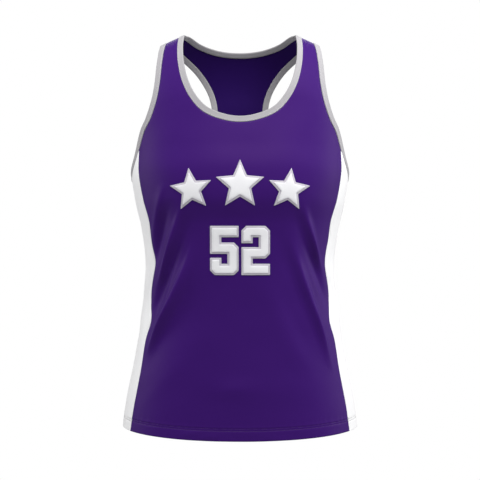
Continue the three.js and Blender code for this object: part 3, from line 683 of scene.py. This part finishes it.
def patch(bottom, top, left, right):      # places between four edges; rows run up
    u = np.linspace(0, 1, len(bottom))[None, :, None]
    v = np.linspace(0, 1, len(left))[:, None, None]
    sides = left[:, None] * (1 - u) + right[:, None] * u
    ends = bottom[None] * (1 - v) + top[None] * v
    corners = (bottom[0] * (1 - u) + bottom[-1] * u) * (1 - v) + (top[0] * (1 - u) + top[-1] * u) * v
    return sides + ends - corners


def joined(*lists):
    return np.concatenate([lists[0]] + [places[1:] for places in lists[1:]])


neckEdge = dict(
    front=spread(neckStretch("frontCentre", "frontStrap"), even(weave["neckColumns"])),
    strap=spread(neckStretch("frontStrap", "ridge"), even(weave["strapRows"])),
    backStrap=spread(neckStretch("ridge", "backStrap"), even(weave["backStrapRows"])),
    back=spread(neckStretch("backStrap", "backCentre"), even(weave["backNeckColumns"])),
)
armholeEdge = dict(
    strap=spread(armholeStretch("ridge", "strap"), even(weave["strapRows"])),
    front=spread(armholeStretch("strap", "frontSeam"), even(weave["armholeRows"])),
    under=spread(armholeStretch("frontSeam", "backSeam"), towardsEdge(weave["sideColumns"], 2)),
    back=spread(armholeStretch("backSeam", "yoke"), fromEdge(weave["backArmholeColumns"])),
    yoke=spread(armholeStretch("yoke", "backStrap"), even(weave["yokeRows"])),
    backStrap=spread(armholeStretch("backStrap", "backRidge"), even(weave["backStrapRows"])),
)


def seamEdge(name, side):                 # one side of a seam, from the hem up to the armhole
    bottom = edges[name][-1]["angle"]
    height = straight(bodyPoint(bottom, hemPlace(bottom)[1])[2], edges[name + "TopZ"])

    def placeAt(t):
        place = seamPlace(name, height(t))
        return place + (side * halfGapAngle(place), 0)
    places = spread(placeAt, upFromHem(weave["bodyRows"] + 1))
    places[-1] = armholeBesideSeam(name, side)
    return places


def hemEdge(start, end, shares):          # along the hem between two of its places
    places = np.array([hemPlace(start[0] + (end[0] - start[0]) * share) for share in shares])
    places[0], places[-1] = start, end
    return places


def strapPatch(base, neckSide, armSide, onBack, shares):    # up to just short of the shoulder seam
    def shoulderPlace(place):
        angle = min(place[0], 180 - place[0])
        return np.array([180 - angle if onBack else angle, edges["seamGap"] / 2])
    neckSide, armSide = neckSide.copy(), armSide.copy()
    neckSide[-1], armSide[-1] = shoulderPlace(neckSide[-1]), shoulderPlace(armSide[-1])
    return patch(base, spread(straight(neckSide[-1], armSide[-1]), shares), neckSide, armSide)


def frontPatches():
    seam = seamEdge("frontSeam", -1)
    right = joined(seam, armholeEdge["front"][::-1])
    strapShares = towardsEdge(weave["strapColumns"])
    strapBase = spread(straight(neckEdge["strap"][0], armholeEdge["front"][0]), strapShares)
    top = joined(neckEdge["front"], strapBase)
    left = spread(straight(hemPlace(0), neckEdge["front"][0]), upFromHem(len(right)))
    bottom = hemEdge(left[0], seam[0], lengthShares(top))
    return (patch(bottom, top, left, right),
            strapPatch(strapBase, neckEdge["strap"], armholeEdge["strap"][::-1], False, strapShares))


def backPatches():
    seam = seamEdge("backSeam", 1)
    yokeCorner = armholeEdge["yoke"][0]
    yokeCentre = placeAtAngle(180.0, bodyPoint(*yokeCorner)[2])
    yokeBase = spread(straight(yokeCentre, yokeCorner),
                      even(weave["backNeckColumns"] + weave["backStrapColumns"]))
    top = joined(yokeBase, armholeEdge["back"][::-1])
    top[-1] = seam[-1]
    left = spread(straight(hemPlace(180), yokeCentre), upFromHem(len(seam)))
    bottom = hemEdge(left[0], seam[0], lengthShares(top))
    neckTop = neckEdge["back"][::-1]
    strapShares = even(weave["backStrapColumns"])
    strapBase = spread(straight(neckTop[-1], armholeEdge["yoke"][-1]), strapShares)
    centre = spread(straight(yokeCentre, neckTop[0]), even(weave["yokeRows"]))
    return (patch(bottom, top, left, seam),
            patch(yokeBase, joined(neckTop, strapBase), centre, armholeEdge["yoke"]),
            strapPatch(strapBase, neckEdge["backStrap"][::-1], armholeEdge["backStrap"], True, strapShares))


def sidePatch():
    left, right = seamEdge("frontSeam", 1), seamEdge("backSeam", -1)
    top = armholeEdge["under"].copy()
    top[0], top[-1] = left[-1], right[-1]
    bottom = hemEdge(left[0], right[0], towardsEdge(weave["sideColumns"], 2)(weave["sideWidth"]))
    return patch(bottom, top, left, right)


# Lengths round the body at each level, so that the knit keeps its size everywhere
chart = dict(lastAngle=180, angleStep=2.0, lastLevel=760, levelStep=10.0)
chartAngles = np.arange(0, chart["lastAngle"] + 1, chart["angleStep"])
chartLevels = np.arange(0, chart["lastLevel"] + 1, chart["levelStep"])
chartLengths = runningLength(bodyPoint(*np.meshgrid(chartAngles, chartLevels)), 1)


def lengthRound(angle, level):            # millimetres from the front centre
    turned = turnTo(angle)
    column = np.clip(np.abs(turned) / chart["angleStep"], 0, len(chartAngles) - 1.001)
    row = np.clip(level / chart["levelStep"], 0, len(chartLevels) - 1.001)
    i, j = column.astype(int), row.astype(int)
    u, v = column - i, row - j
    value = (chartLengths[j, i] * (1 - u) * (1 - v) + chartLengths[j, i + 1] * u * (1 - v)
             + chartLengths[j + 1, i] * (1 - u) * v + chartLengths[j + 1, i + 1] * u * v)
    return np.where(turned < 0, -value, value)


hem = dict(
    turnUp=18,                            # height of the turned-up layer inside
    foldRadius=0.95, foldTurns=[180, 150, 120, 90, 60, 30],
    rows=[17, 14, 10.5, 7, 4, 2],         # heights of that layer's rows below its top
    stitches=[15.2, 18.4],                # heights of the two rows of stitches
    groove=dict(depth=0.45, width=1.0),   # where they draw the cloth in
    ridge=dict(height=0.35, above=1.8, width=1.6),       # where the turned-up layer ends
    pucker=dict(height=0.16, at=21, width=6, pitch=9.5, wander=2.2, wanderRate=0.31),
)
seamDitch = dict(depth=0.75, width=1.7)
cloth = dict(thickness=0.8, weldSteps=200)    # points in the same 200th of a millimetre are one


def makeMesh(name, points, faces, uv, finish):
    mesh = bpy.data.meshes.new(name)
    mesh.from_pydata((np.asarray(points) * mm).tolist(), [], [list(map(int, face)) for face in faces])
    mesh.materials.append(finishes[finish])
    layer = mesh.uv_layers.new(name="cloth")
    corners = np.empty(len(mesh.loops), dtype=np.int32)
    mesh.loops.foreach_get("vertex_index", corners)
    layer.data.foreach_set("uv", (np.asarray(uv)[corners] * mm).astype(np.float32).ravel())
    mesh.shade_smooth()
    mesh.validate()
    return addObject(name, mesh)


def distanceToEdge(grid, edge):
    points = bodyPoint(grid[..., 0], grid[..., 1])
    if edge == "left":
        return runningLength(points, 1)
    axis = 0 if edge == "top" else 1
    return np.flip(runningLength(np.flip(points, axis), axis), axis)


def hemRelief(grid):
    height = grid[0, :, 1] - grid[..., 1]
    groove, ridge, pucker = hem["groove"], hem["ridge"], hem["pucker"]
    grooves = sum(-groove["depth"] * hump(height - row, groove["width"]) for row in hem["stitches"])
    step = ridge["height"] * hump(height - hem["turnUp"] - ridge["above"], ridge["width"])
    wander = pucker["wander"] * np.sin(grid[..., 0] * pucker["wanderRate"])
    ripple = np.sin(lengthRound(grid[..., 0], grid[..., 1]) * math.tau / pucker["pitch"] + wander)
    return grooves + step + pucker["height"] * ripple * hump(height - pucker["at"], pucker["width"])


def plainGrid(grid, seams=(), relief=0):  # a grid and its offsets, with a ditch along its seams
    offsets = relief + np.zeros(grid.shape[:2])
    for edge in seams:
        offsets = offsets - seamDitch["depth"] * hump(distanceToEdge(grid, edge), seamDitch["width"])
    return grid, offsets


def hemmedGrid(grid, seams):              # the same, with its bottom row turned up inside
    radius = hem["foldRadius"]
    rows = [(height, 2 * radius) for height in (hem["turnUp"], *hem["rows"])]
    rows += [(radius - radius * math.sin(turn), radius - radius * math.cos(turn))
             for turn in np.radians(hem["foldTurns"])]
    turnedUp = [grid[0] - (0, height) for height, _ in rows]
    insets = [np.full(grid.shape[1], -inset) for _, inset in rows]
    _, offsets = plainGrid(grid, seams, hemRelief(grid))
    kept = grid.copy()
    kept[0] = grid[0] - (0, radius)
    return np.concatenate([turnedUp, kept]), np.concatenate([insets, offsets])


def clothPiece(name, grids, finish, inside=None):        # points that grids share are made once
    points, uvs, faces, known = [], [], [], {}
    for places, offsets in grids:
        position, _ = clothPoints(places, offsets)
        uv = np.stack([lengthRound(places[..., 0], places[..., 1]), places[..., 1] + offsets], axis=-1)
        keys = np.round(position * cloth["weldSteps"]).astype(int)
        index = np.empty(places.shape[:2], dtype=int)
        for at in np.ndindex(index.shape):
            key = tuple(keys[at])
            if key not in known:
                known[key] = len(points)
                points.append(position[at])
                uvs.append(uv[at])
            index[at] = known[key]
        quads = np.stack([index[:-1, :-1], index[:-1, 1:], index[1:, 1:], index[1:, :-1]], axis=-1)
        quads = quads.reshape(-1, 4)
        corner, beside, _, above = (points[k] for k in quads[len(quads) // 2])
        normal = normalOf(foldedPoint, *places[places.shape[0] // 2, places.shape[1] // 2])
        outward = np.dot(np.cross(beside - corner, above - corner), normal) > 0
        faces.append(quads if outward else quads[:, ::-1])
    piece = makeMesh(name, points, np.concatenate(faces), uvs, finish)
    wall = piece.modifiers.new("wall", "SOLIDIFY")
    wall.thickness = cloth["thickness"] * mm
    wall.offset = -1
    # the inner face takes the inside finish; the panels' one is a darker copy of the knit, as painted shade
    if inside:
        piece.data.materials.append(finishes[inside])
        wall.material_offset = 1
    return piece


def bothHalves(*grids):
    return [*grids, *((mirrored(places), offsets) for places, offsets in grids)]


frontBody, frontStrap = frontPatches()
backBody, backYoke, backStrap = backPatches()
sideBody = sidePatch()
frontPanel = clothPiece("frontPanel", bothHalves(
    hemmedGrid(frontBody, ["right"]), plainGrid(frontStrap, ["top", "right"])), "purpleKnit", "purpleInside")
backPanel = clothPiece("backPanel", bothHalves(
    hemmedGrid(backBody, ["right"]), plainGrid(backYoke), plainGrid(backStrap, ["top"])),
    "purpleKnit", "purpleInside")
sideLeft = clothPiece("sidePanelLeft", [hemmedGrid(sideBody, ["left", "right"])], "whiteKnit")
sideRight = clothPiece("sidePanelRight", [hemmedGrid(mirrored(sideBody), ["left", "right"])], "whiteKnit")
print("panels made:", [len(piece.data.polygons) for piece in (frontPanel, backPanel, sideLeft, sideRight)])


# Bindings, folded over the cut edges of the neck and the armholes

binding = dict(
    width=9.4, start=-0.2, step=3,
    proud=0.6, inner=-1.7,                # how far the outside and the inside stand off the cloth
    edgeRadius=1.05, rim=0.14,            # the rim stands up beside the cloth and at the fold
    flatFrom=3.2, flatTo=3,               # from the start, and short of the end
    stitchesAt=1.1,                       # past the cut edge
)


def bindingSection():                     # pairs of a distance past the cut edge and a height
    start, end = binding["start"], edges["seamGap"] + binding["width"]
    radius, proud, inner, rim = (binding[name] for name in ("edgeRadius", "proud", "inner", "rim"))
    centre, flatEnd = (start + end) / 2, end - binding["flatTo"]
    middle, half = (proud + inner) / 2, (proud - inner) / 2 + rim
    outside = [(start - 0.1, 0.02), (start + 0.15, proud * 0.75), (start + 0.6, proud + rim),
               (start + 1.6, proud + rim * 0.4), (start + binding["flatFrom"], proud),
               (centre, proud), (flatEnd, proud), (end - 1.9, proud + rim * 0.6)]
    fold = [(end - radius + radius * math.cos(turn), middle + half * math.sin(turn))
            for turn in np.radians([75, 50, 25, 0, -25, -50, -75])]
    inside = [(flatEnd, inner), (centre, inner), (start + 2, inner), (start + 0.4, inner + 0.1),
              (start - 0.1, inner + 0.6)]
    return np.array(outside + fold + inside)


def ringFrame(places):                    # points, ways out of the cloth and ways off its edge
    points, normals = clothPoints(places)
    along = np.roll(points, -1, axis=0) - np.roll(points, 1, axis=0)
    return points, normals, unit(np.cross(normals, along))


def bindingPiece(name, places):
    section = bindingSection()
    points, normals, outwards = ringFrame(places)
    skin = (points[:, None] + outwards[:, None] * section[None, :, :1]
            + normals[:, None] * section[None, :, 1:])
    uv = np.stack(np.broadcast_arrays(runningLength(section)[None], runningLength(points)[:, None]), axis=-1)
    here = np.arange(len(points) * len(section)).reshape(len(points), -1)
    beside = np.roll(here, -1, axis=1)
    quads = np.stack([here, np.roll(here, -1, axis=0), np.roll(beside, -1, axis=0), beside], axis=-1)
    return makeMesh(name, skin.reshape(-1, 3), quads.reshape(-1, 4), uv.reshape(-1, 2), "greyBinding")


def stations(*stretches):                 # places along an edge, about a step apart
    def shares(total):
        return np.linspace(0, 1, max(int(total / binding["step"]), 2) + 1)
    return np.concatenate([spread(stretch, shares)[:-1] for stretch in stretches])


neckHalf = stations(neckStretch("frontCentre", "ridge"), neckStretch("ridge", "backCentre"))
backCentre = overShoulder(readAlong(neckPlaces, neckAt["backCentre"]))
neckRing = np.concatenate([neckHalf, [backCentre], mirrored(neckHalf[:0:-1])])
armholeRingLeft = stations(armholeStretch("ridge", "frontSeam"), armholeStretch("frontSeam", "backSeam"),
                           armholeStretch("backSeam", "backRidge"))
armholeRingRight = mirrored(armholeRingLeft[::-1])
neckBinding = bindingPiece("neckBinding", neckRing)
armholeBindingLeft = bindingPiece("armholeBindingLeft", armholeRingLeft)
armholeBindingRight = bindingPiece("armholeBindingRight", armholeRingRight)
print("bindings made")


# Stitches: a short thread on each step of a path

stitchSway = 0.06                         # radians that a stitch may lean by chance
bead = dict(segments=6, rings=4)


def stitchTree():
    group = bpy.data.node_groups.new("stitches", "GeometryNodeTree")
    tree = Tree(group)
    kinds = {"Path": "Geometry", "Stitch length": "Float", "Pitch": "Float", "Thread width": "Float",
             "Slant": "Float", "Seed": "Int", "Thread": "Material"}
    inputs = {name: group.interface.new_socket(
        name=name, in_out="INPUT", socket_type="NodeSocket" + kind).identifier
        for name, kind in kinds.items()}
    group.interface.new_socket(name="Stitches", in_out="OUTPUT", socket_type="NodeSocketGeometry")
    start = tree.node("NodeGroupInput").socket.node
    given = {socket.name: Wire(tree, socket) for socket in start.outputs if socket.name}
    curve = tree.node("GeometryNodeMeshToCurve", {"Mesh": given["Path"]})
    steps = tree.node("GeometryNodeResampleCurve", {"Curve": curve, "Length": given["Pitch"]}, mode="LENGTH")
    tangent = tree.node("GeometryNodeInputTangent")
    facing = tree.node("GeometryNodeInputNamedAttribute", {"Name": "facing"}, data_type="FLOAT_VECTOR")
    turn = tree.node("FunctionNodeAxesToRotation", {"Primary Axis": tangent, "Secondary Axis": facing},
                     primary_axis="X", secondary_axis="Z")
    index = tree.node("GeometryNodeInputIndex")
    chance = tree.node("FunctionNodeRandomValue", {
        "Min_001": -stitchSway, "Max_001": stitchSway, "Seed": given["Seed"]}, 1, data_type="FLOAT")
    lean = given["Slant"] * ((index % 2) * 2 - 1) + chance
    leanTurn = tree.node("FunctionNodeEulerToRotation", {0: tree.join(0.0, 0.0, lean)})
    leaning = tree.node("FunctionNodeRotateRotation", {"Rotation": turn, "Rotate By": leanTurn},
                        rotation_space="LOCAL")
    ball = tree.node("GeometryNodeMeshUVSphere", {
        "Segments": bead["segments"], "Rings": bead["rings"], "Radius": 0.5})
    size = tree.join(given["Stitch length"], given["Thread width"], given["Thread width"])
    thread = tree.node("GeometryNodeTransform", {"Geometry": ball, "Scale": size})
    laid = tree.node("GeometryNodeInstanceOnPoints", {
        "Points": steps, "Instance": thread, "Rotation": leaning})
    real = tree.node("GeometryNodeRealizeInstances", {"Geometry": laid})
    smooth = tree.node("GeometryNodeSetShadeSmooth", {0: real})
    coloured = tree.node("GeometryNodeSetMaterial", {"Geometry": smooth, "Material": given["Thread"]})
    end = tree.nodes.new("NodeGroupOutput")
    tree.feed(end.inputs[0], coloured)
    return group, inputs


stitchGroup, stitchInputs = stitchTree()


def stitchPiece(name, paths, look, finish):
    points, facings, links = [], [], []
    for path, normals, closed in paths:
        first = len(points)
        points += (path * mm).tolist()
        facings += normals.tolist()
        links += [(k, k + 1) for k in range(first, len(points) - 1)]
        if closed:
            links.append((len(points) - 1, first))
    mesh = bpy.data.meshes.new(name + "Path")
    mesh.from_pydata(points, links, [])
    attribute = mesh.attributes.new("facing", "FLOAT_VECTOR", "POINT")
    attribute.data.foreach_set("vector", np.array(facings, dtype=np.float32).ravel())
    guide = addObject(name + "Path", mesh)
    modifier = guide.modifiers.new("stitches", "NODES")
    modifier.node_group = stitchGroup
    for label, value in {"Stitch length": look["length"] * mm, "Pitch": look["pitch"] * mm,
                         "Thread width": look["width"] * mm, "Slant": look["slant"],
                         "Seed": look["seed"], "Thread": finishes[finish]}.items():
        modifier[stitchInputs[label]] = value
    guide.update_tag()
    bpy.context.view_layer.update()
    made = bpy.data.meshes.new_from_object(guide.evaluated_get(bpy.context.evaluated_depsgraph_get()))
    made.name = name
    bpy.data.objects.remove(guide)
    return addObject(name, made)


lockstitch = dict(length=2.5, pitch=3.0, width=0.42, slant=0.0, seed=3, proud=0.1)


def hemPaths(*grids):
    out = lockstitch["proud"] - hem["groove"]["depth"]
    rows = [grid[0] - (0, height) for height in hem["stitches"] for grid in grids]
    return [(*clothPoints(row, np.full(len(row), out)), False) for row in rows]


def bindingPath(ring):
    points, normals, outwards = ringFrame(ring)
    out = binding["proud"] + lockstitch["proud"]
    return [(points + outwards * binding["stitchesAt"] + normals * out, normals, True)]


seamStitches = table(
    "name paths thread slot",
    ("hemStitchesFront", hemPaths(frontBody, mirrored(frontBody)), "purpleThread", "purple_knit"),
    ("hemStitchesBack", hemPaths(backBody, mirrored(backBody)), "purpleThread", "purple_knit"),
    ("hemStitchesLeft", hemPaths(sideBody), "shadeThread", "white_knit"),
    ("hemStitchesRight", hemPaths(mirrored(sideBody)), "shadeThread", "white_knit"),
    ("neckStitches", bindingPath(neckRing), "greyThread", "grey_binding"),
    ("armholeStitchesLeft", bindingPath(armholeRingLeft), "greyThread", "grey_binding"),
    ("armholeStitchesRight", bindingPath(armholeRingRight), "greyThread", "grey_binding"),
)
stitches = {row["name"]: stitchPiece(row["name"], row["paths"], lockstitch, row["thread"])
            for row in seamStitches}
print("stitches made")


# Appliques: a grey backing and a white face, each cut from twill and stitched round its edge

stars = dict(
    points=5, waist=0.46,
    rows=table(
        "name node x z radius turn",
        ("starRight", "star_right", -73, -252, 33, 7),
        ("starMiddle", "star_middle", 0, -245, 38, 0),
        ("starLeft", "star_left", 73, -252, 33, -7)),
)
digits = dict(
    width=43, height=74, stroke=17, chamfer=7, slot=8, hook=9,
    rows=table(
        "name node x z flipped",
        ("digitLeft", "digit_left", -45, -380, False),
        ("digitRight", "digit_right", 2, -380, True)),
)
twill = dict(
    border=3, backing=(0.1, 1.0), face=(1.0, 1.9),       # each layer's heights over the cloth
    rounding=0.35, roundingDrop=0.45,     # of the upper edge, the drop as a share of the layer
    rings=[0, 0.3, 1.0], ringStep=2.6, corner=0.8,       # lines of points inside the outline
    grain=3.4, grainFrom=1.9,             # and a grid of them from here inwards
    pathStep=2, stitchesAt=0.5, stitchesOut=0.02,
)
zigzag = dict(length=1.7, pitch=1.25, width=0.34, slant=1.2, seed=8)


def starOutline(row):
    tips = np.arange(2 * stars["points"])
    turns = np.radians(90 + tips * 180 / stars["points"] + row["turn"])
    reach = row["radius"] * np.where(tips % 2 == 0, 1, stars["waist"])
    return np.stack([row["x"] + reach * np.cos(turns), row["z"] + reach * np.sin(turns)], axis=-1)


def digitOutline(row):                    # a block five, or upside down a two
    width, height, stroke = digits["width"], digits["height"], digits["stroke"]
    chamfer, hook = digits["chamfer"], digits["hook"]
    bowlTop = height - stroke - digits["slot"]
    points = np.array([
        (0, height), (0, bowlTop - stroke), (width - stroke, bowlTop - stroke),
        (width - stroke, stroke), (stroke, stroke), (stroke, stroke + hook), (0, stroke + hook),
        (0, chamfer), (chamfer, 0), (width - chamfer, 0), (width, chamfer),
        (width, bowlTop - chamfer), (width - chamfer, bowlTop), (stroke, bowlTop),
        (stroke, height - stroke), (width, height - stroke), (width, height)], float)
    if row["flipped"]:
        points = points[::-1] * (1, -1) + (0, height)
    return points + (row["x"], row["z"])


def insetOutline(points, inset):          # moves each side of an anticlockwise outline inwards
    before = unit(points - np.roll(points, 1, axis=0))
    after = unit(np.roll(points, -1, axis=0) - points)
    turn = 1 + np.sum(before * after, axis=-1, keepdims=True)
    both = before + after
    return points + np.stack([-both[:, 1], both[:, 0]], axis=-1) * inset / turn


def finelyCut(points, step):              # rounds the corners a little and divides the sides
    cut, corner = [], twill["corner"]
    for point, before, after in zip(points, np.roll(points, 1, axis=0), np.roll(points, -1, axis=0)):
        start = point + unit(before - point) * corner
        end = point + unit(after - point) * corner
        cut += [start, (start + end + 2 * point) / 4, end]
        length = np.linalg.norm(after - point) - 2 * corner
        pieces = max(int(length / step), 1)
        cut += [end + unit(after - point) * length * k / pieces for k in range(1, pieces)]
    return np.array(cut)


def placesAt(flat, rounds=14):            # places on the front that show at each x and z
    x, z = flat[:, 0], flat[:, 1]
    angle, level = np.degrees(np.arcsin(x / body["usualRadius"])), -z + 60.0    # a first guess
    for _ in range(rounds):
        point = foldedPoint(angle, level)
        angle = angle + (x - point[..., 0]) / millimetresPerDegree
        level = level + (point[..., 2] - z)
    return np.stack([angle, level], axis=-1)


def isWithin(points, outline):
    x, z = points[:, 0][:, None], points[:, 1][:, None]
    a, b = outline, np.roll(outline, -1, axis=0)
    spans = (a[:, 1] > z) != (b[:, 1] > z)
    rise = np.where(b[:, 1] == a[:, 1], 1e-9, b[:, 1] - a[:, 1])
    crossing = a[:, 0] + (z - a[:, 1]) * (b[:, 0] - a[:, 0]) / rise
    return (spans & (x < crossing)).sum(axis=1) % 2 == 1


def distanceTo(outline, points):
    a, b = outline, np.roll(outline, -1, axis=0)
    side = b - a
    t = np.clip(np.sum((points[:, None] - a) * side, axis=-1) / np.sum(side * side, axis=-1), 0, 1)
    return np.linalg.norm(points[:, None] - a - side * t[..., None], axis=-1).min(axis=1)


def appliqueTriangles(outline):           # points over an outline's inside, and their faces
    rings = [finelyCut(insetOutline(outline, inset), twill["ringStep"]) for inset in twill["rings"]]
    low, high = outline.min(axis=0), outline.max(axis=0)
    grid = np.stack(np.meshgrid(np.arange(low[0], high[0], twill["grain"]),
                                np.arange(low[1], high[1], twill["grain"])), axis=-1).reshape(-1, 2)
    grid = grid[isWithin(grid, outline) & (distanceTo(outline, grid) > twill["grainFrom"])]
    points = [tuple(map(float, point)) for point in np.concatenate([*rings, grid])]
    loop = [(k, (k + 1) % len(rings[0])) for k in range(len(rings[0]))]
    found = delaunay_2d_cdt(points, loop, [], 1, 1e-5)
    flat = np.array([tuple(point) for point in found[0]])
    faces = np.array([face for face in found[2] if len(face) == 3])
    return flat, faces[isWithin(flat[faces].mean(axis=1), rings[0])], distanceTo(rings[0], flat)


def appliquePiece(name, outline, layer, finish):
    bottom, top = layer
    flat, faces, depth = appliqueTriangles(outline)
    places, size = placesAt(flat), len(flat)
    drop = (top - bottom) * twill["roundingDrop"] * hump(depth, twill["rounding"])
    upper, _ = clothPoints(places, top - drop)
    lower, _ = clothPoints(places, np.full(size, bottom))
    sides = dict.fromkeys((int(face[k]), int(face[(k + 1) % 3])) for face in faces for k in range(3))
    walls = [(b, a, a + size, b + size) for a, b in sides if (b, a) not in sides]
    skin = [*faces, *(faces[:, [0, 2, 1]] + size), *walls]
    return makeMesh(name, np.concatenate([upper, lower]), skin, np.concatenate([flat, flat]), finish)


def outlinePath(outline, layer):
    flat = finelyCut(insetOutline(outline, twill["stitchesAt"]), twill["pathStep"])
    points, normals = clothPoints(placesAt(flat), np.full(len(flat), layer[1] + twill["stitchesOut"]))
    return [(points, normals, True)]


appliques = []
appliqueStitches = []
for row in stars["rows"] + digits["rows"]:
    outline = starOutline(row) if "radius" in row else digitOutline(row)
    face = insetOutline(outline, twill["border"])
    backing = appliquePiece(row["name"] + "Backing", outline, twill["backing"], "greyTwill")
    front = appliquePiece(row["name"] + "Face", face, twill["face"], "whiteTwill")
    stitched = stitchPiece(row["name"] + "Stitches", outlinePath(face, twill["face"]), zigzag, "whiteThread")
    edged = stitchPiece(row["name"] + "EdgeStitches", outlinePath(outline, twill["backing"]),
                        zigzag, "greyThread")
    appliques += [(backing, row["node"] + "_backing", "grey_twill"),
                  (front, row["node"] + "_face", "white_twill")]
    appliqueStitches += [(stitched, "white_twill"), (edged, "grey_twill")]
print("appliques made")


# Each piece rides on the body, and the cloth and the appliques stand for their solids

clothPieces = [
    (frontPanel, "front_panel", "purple_knit"), (backPanel, "back_panel", "purple_knit"),
    (sideLeft, "side_panel_left", "white_knit"), (sideRight, "side_panel_right", "white_knit"),
    (neckBinding, "neck_binding", "grey_binding"),
    (armholeBindingLeft, "armhole_binding_left", "grey_binding"),
    (armholeBindingRight, "armhole_binding_right", "grey_binding"),
]
for piece, node, slot in clothPieces + appliques:
    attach(piece, "root")
    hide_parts(node)
for piece, slot in appliqueStitches + [(stitches[row["name"]], row["slot"]) for row in seamStitches]:
    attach(piece, "root")

onFront = [piece for piece, _, _ in appliques] + [piece for piece, _ in appliqueStitches]
[stitches["hemStitchesFront"]] + onFront


# Studio

studio = dict(
    floor=dict(z=-1500, radius=3000, sides=96, roughness=0.8, colour=(0.88, 0.88, 0.89)),
    backdrop=1.0,                         # brightness of the white behind the tank
    fill=0.28,                            # light from all round
    lights=table(
        "name place aim size watts",
        ("topLight", (230, -820, 960), (0, 0, -330), (1300, 900), 37),
        ("leftLight", (-1450, 60, 60), (0, 0, -400), (500, 1400), 12),
        ("rightLight", (1450, 60, 60), (0, 0, -400), (500, 1400), 15),
        ("backLight", (0, 1900, 900), (0, 0, -330), (1600, 900), 14)),
)

for light in studio["lights"]:
    data = bpy.data.lights.new(light["name"], "AREA")
    data.shape = "RECTANGLE"
    data.size, data.size_y = (length * mm for length in light["size"])
    data.energy = light["watts"]
    lamp = addObject(light["name"], data)
    place, aim = np.array(light["place"]) * mm, np.array(light["aim"]) * mm
    lamp.location = place
    lamp.rotation_euler = Vector(aim - place).to_track_quat("-Z", "Y").to_euler()

world = bpy.data.worlds.new("studio")
bpy.context.scene.world = world
world.use_nodes = True
worldTree = Tree(world.node_tree)
background = worldTree.nodes["Background"]
seen = worldTree.node("ShaderNodeLightPath")
worldTree.feed(background.inputs["Strength"], seen * (studio["backdrop"] - studio["fill"]) + studio["fill"])
background.inputs["Color"].default_value = (1, 1, 1, 1)

ground = studio["floor"]
floorMesh = bpy.data.meshes.new("floor")
turns = np.linspace(0, math.tau, ground["sides"], endpoint=False)
rim = [(math.cos(turn) * ground["radius"] * mm, math.sin(turn) * ground["radius"] * mm, ground["z"] * mm)
       for turn in turns]
floorMesh.from_pydata(rim, [], [list(range(ground["sides"]))])
floorMesh.materials.append(makeFinish("floor", {
    "Roughness": ground["roughness"], "Base Color": (*ground["colour"], 1)}, lambda tree: {}))
floor = addObject("floor", floorMesh)
print("studio made")
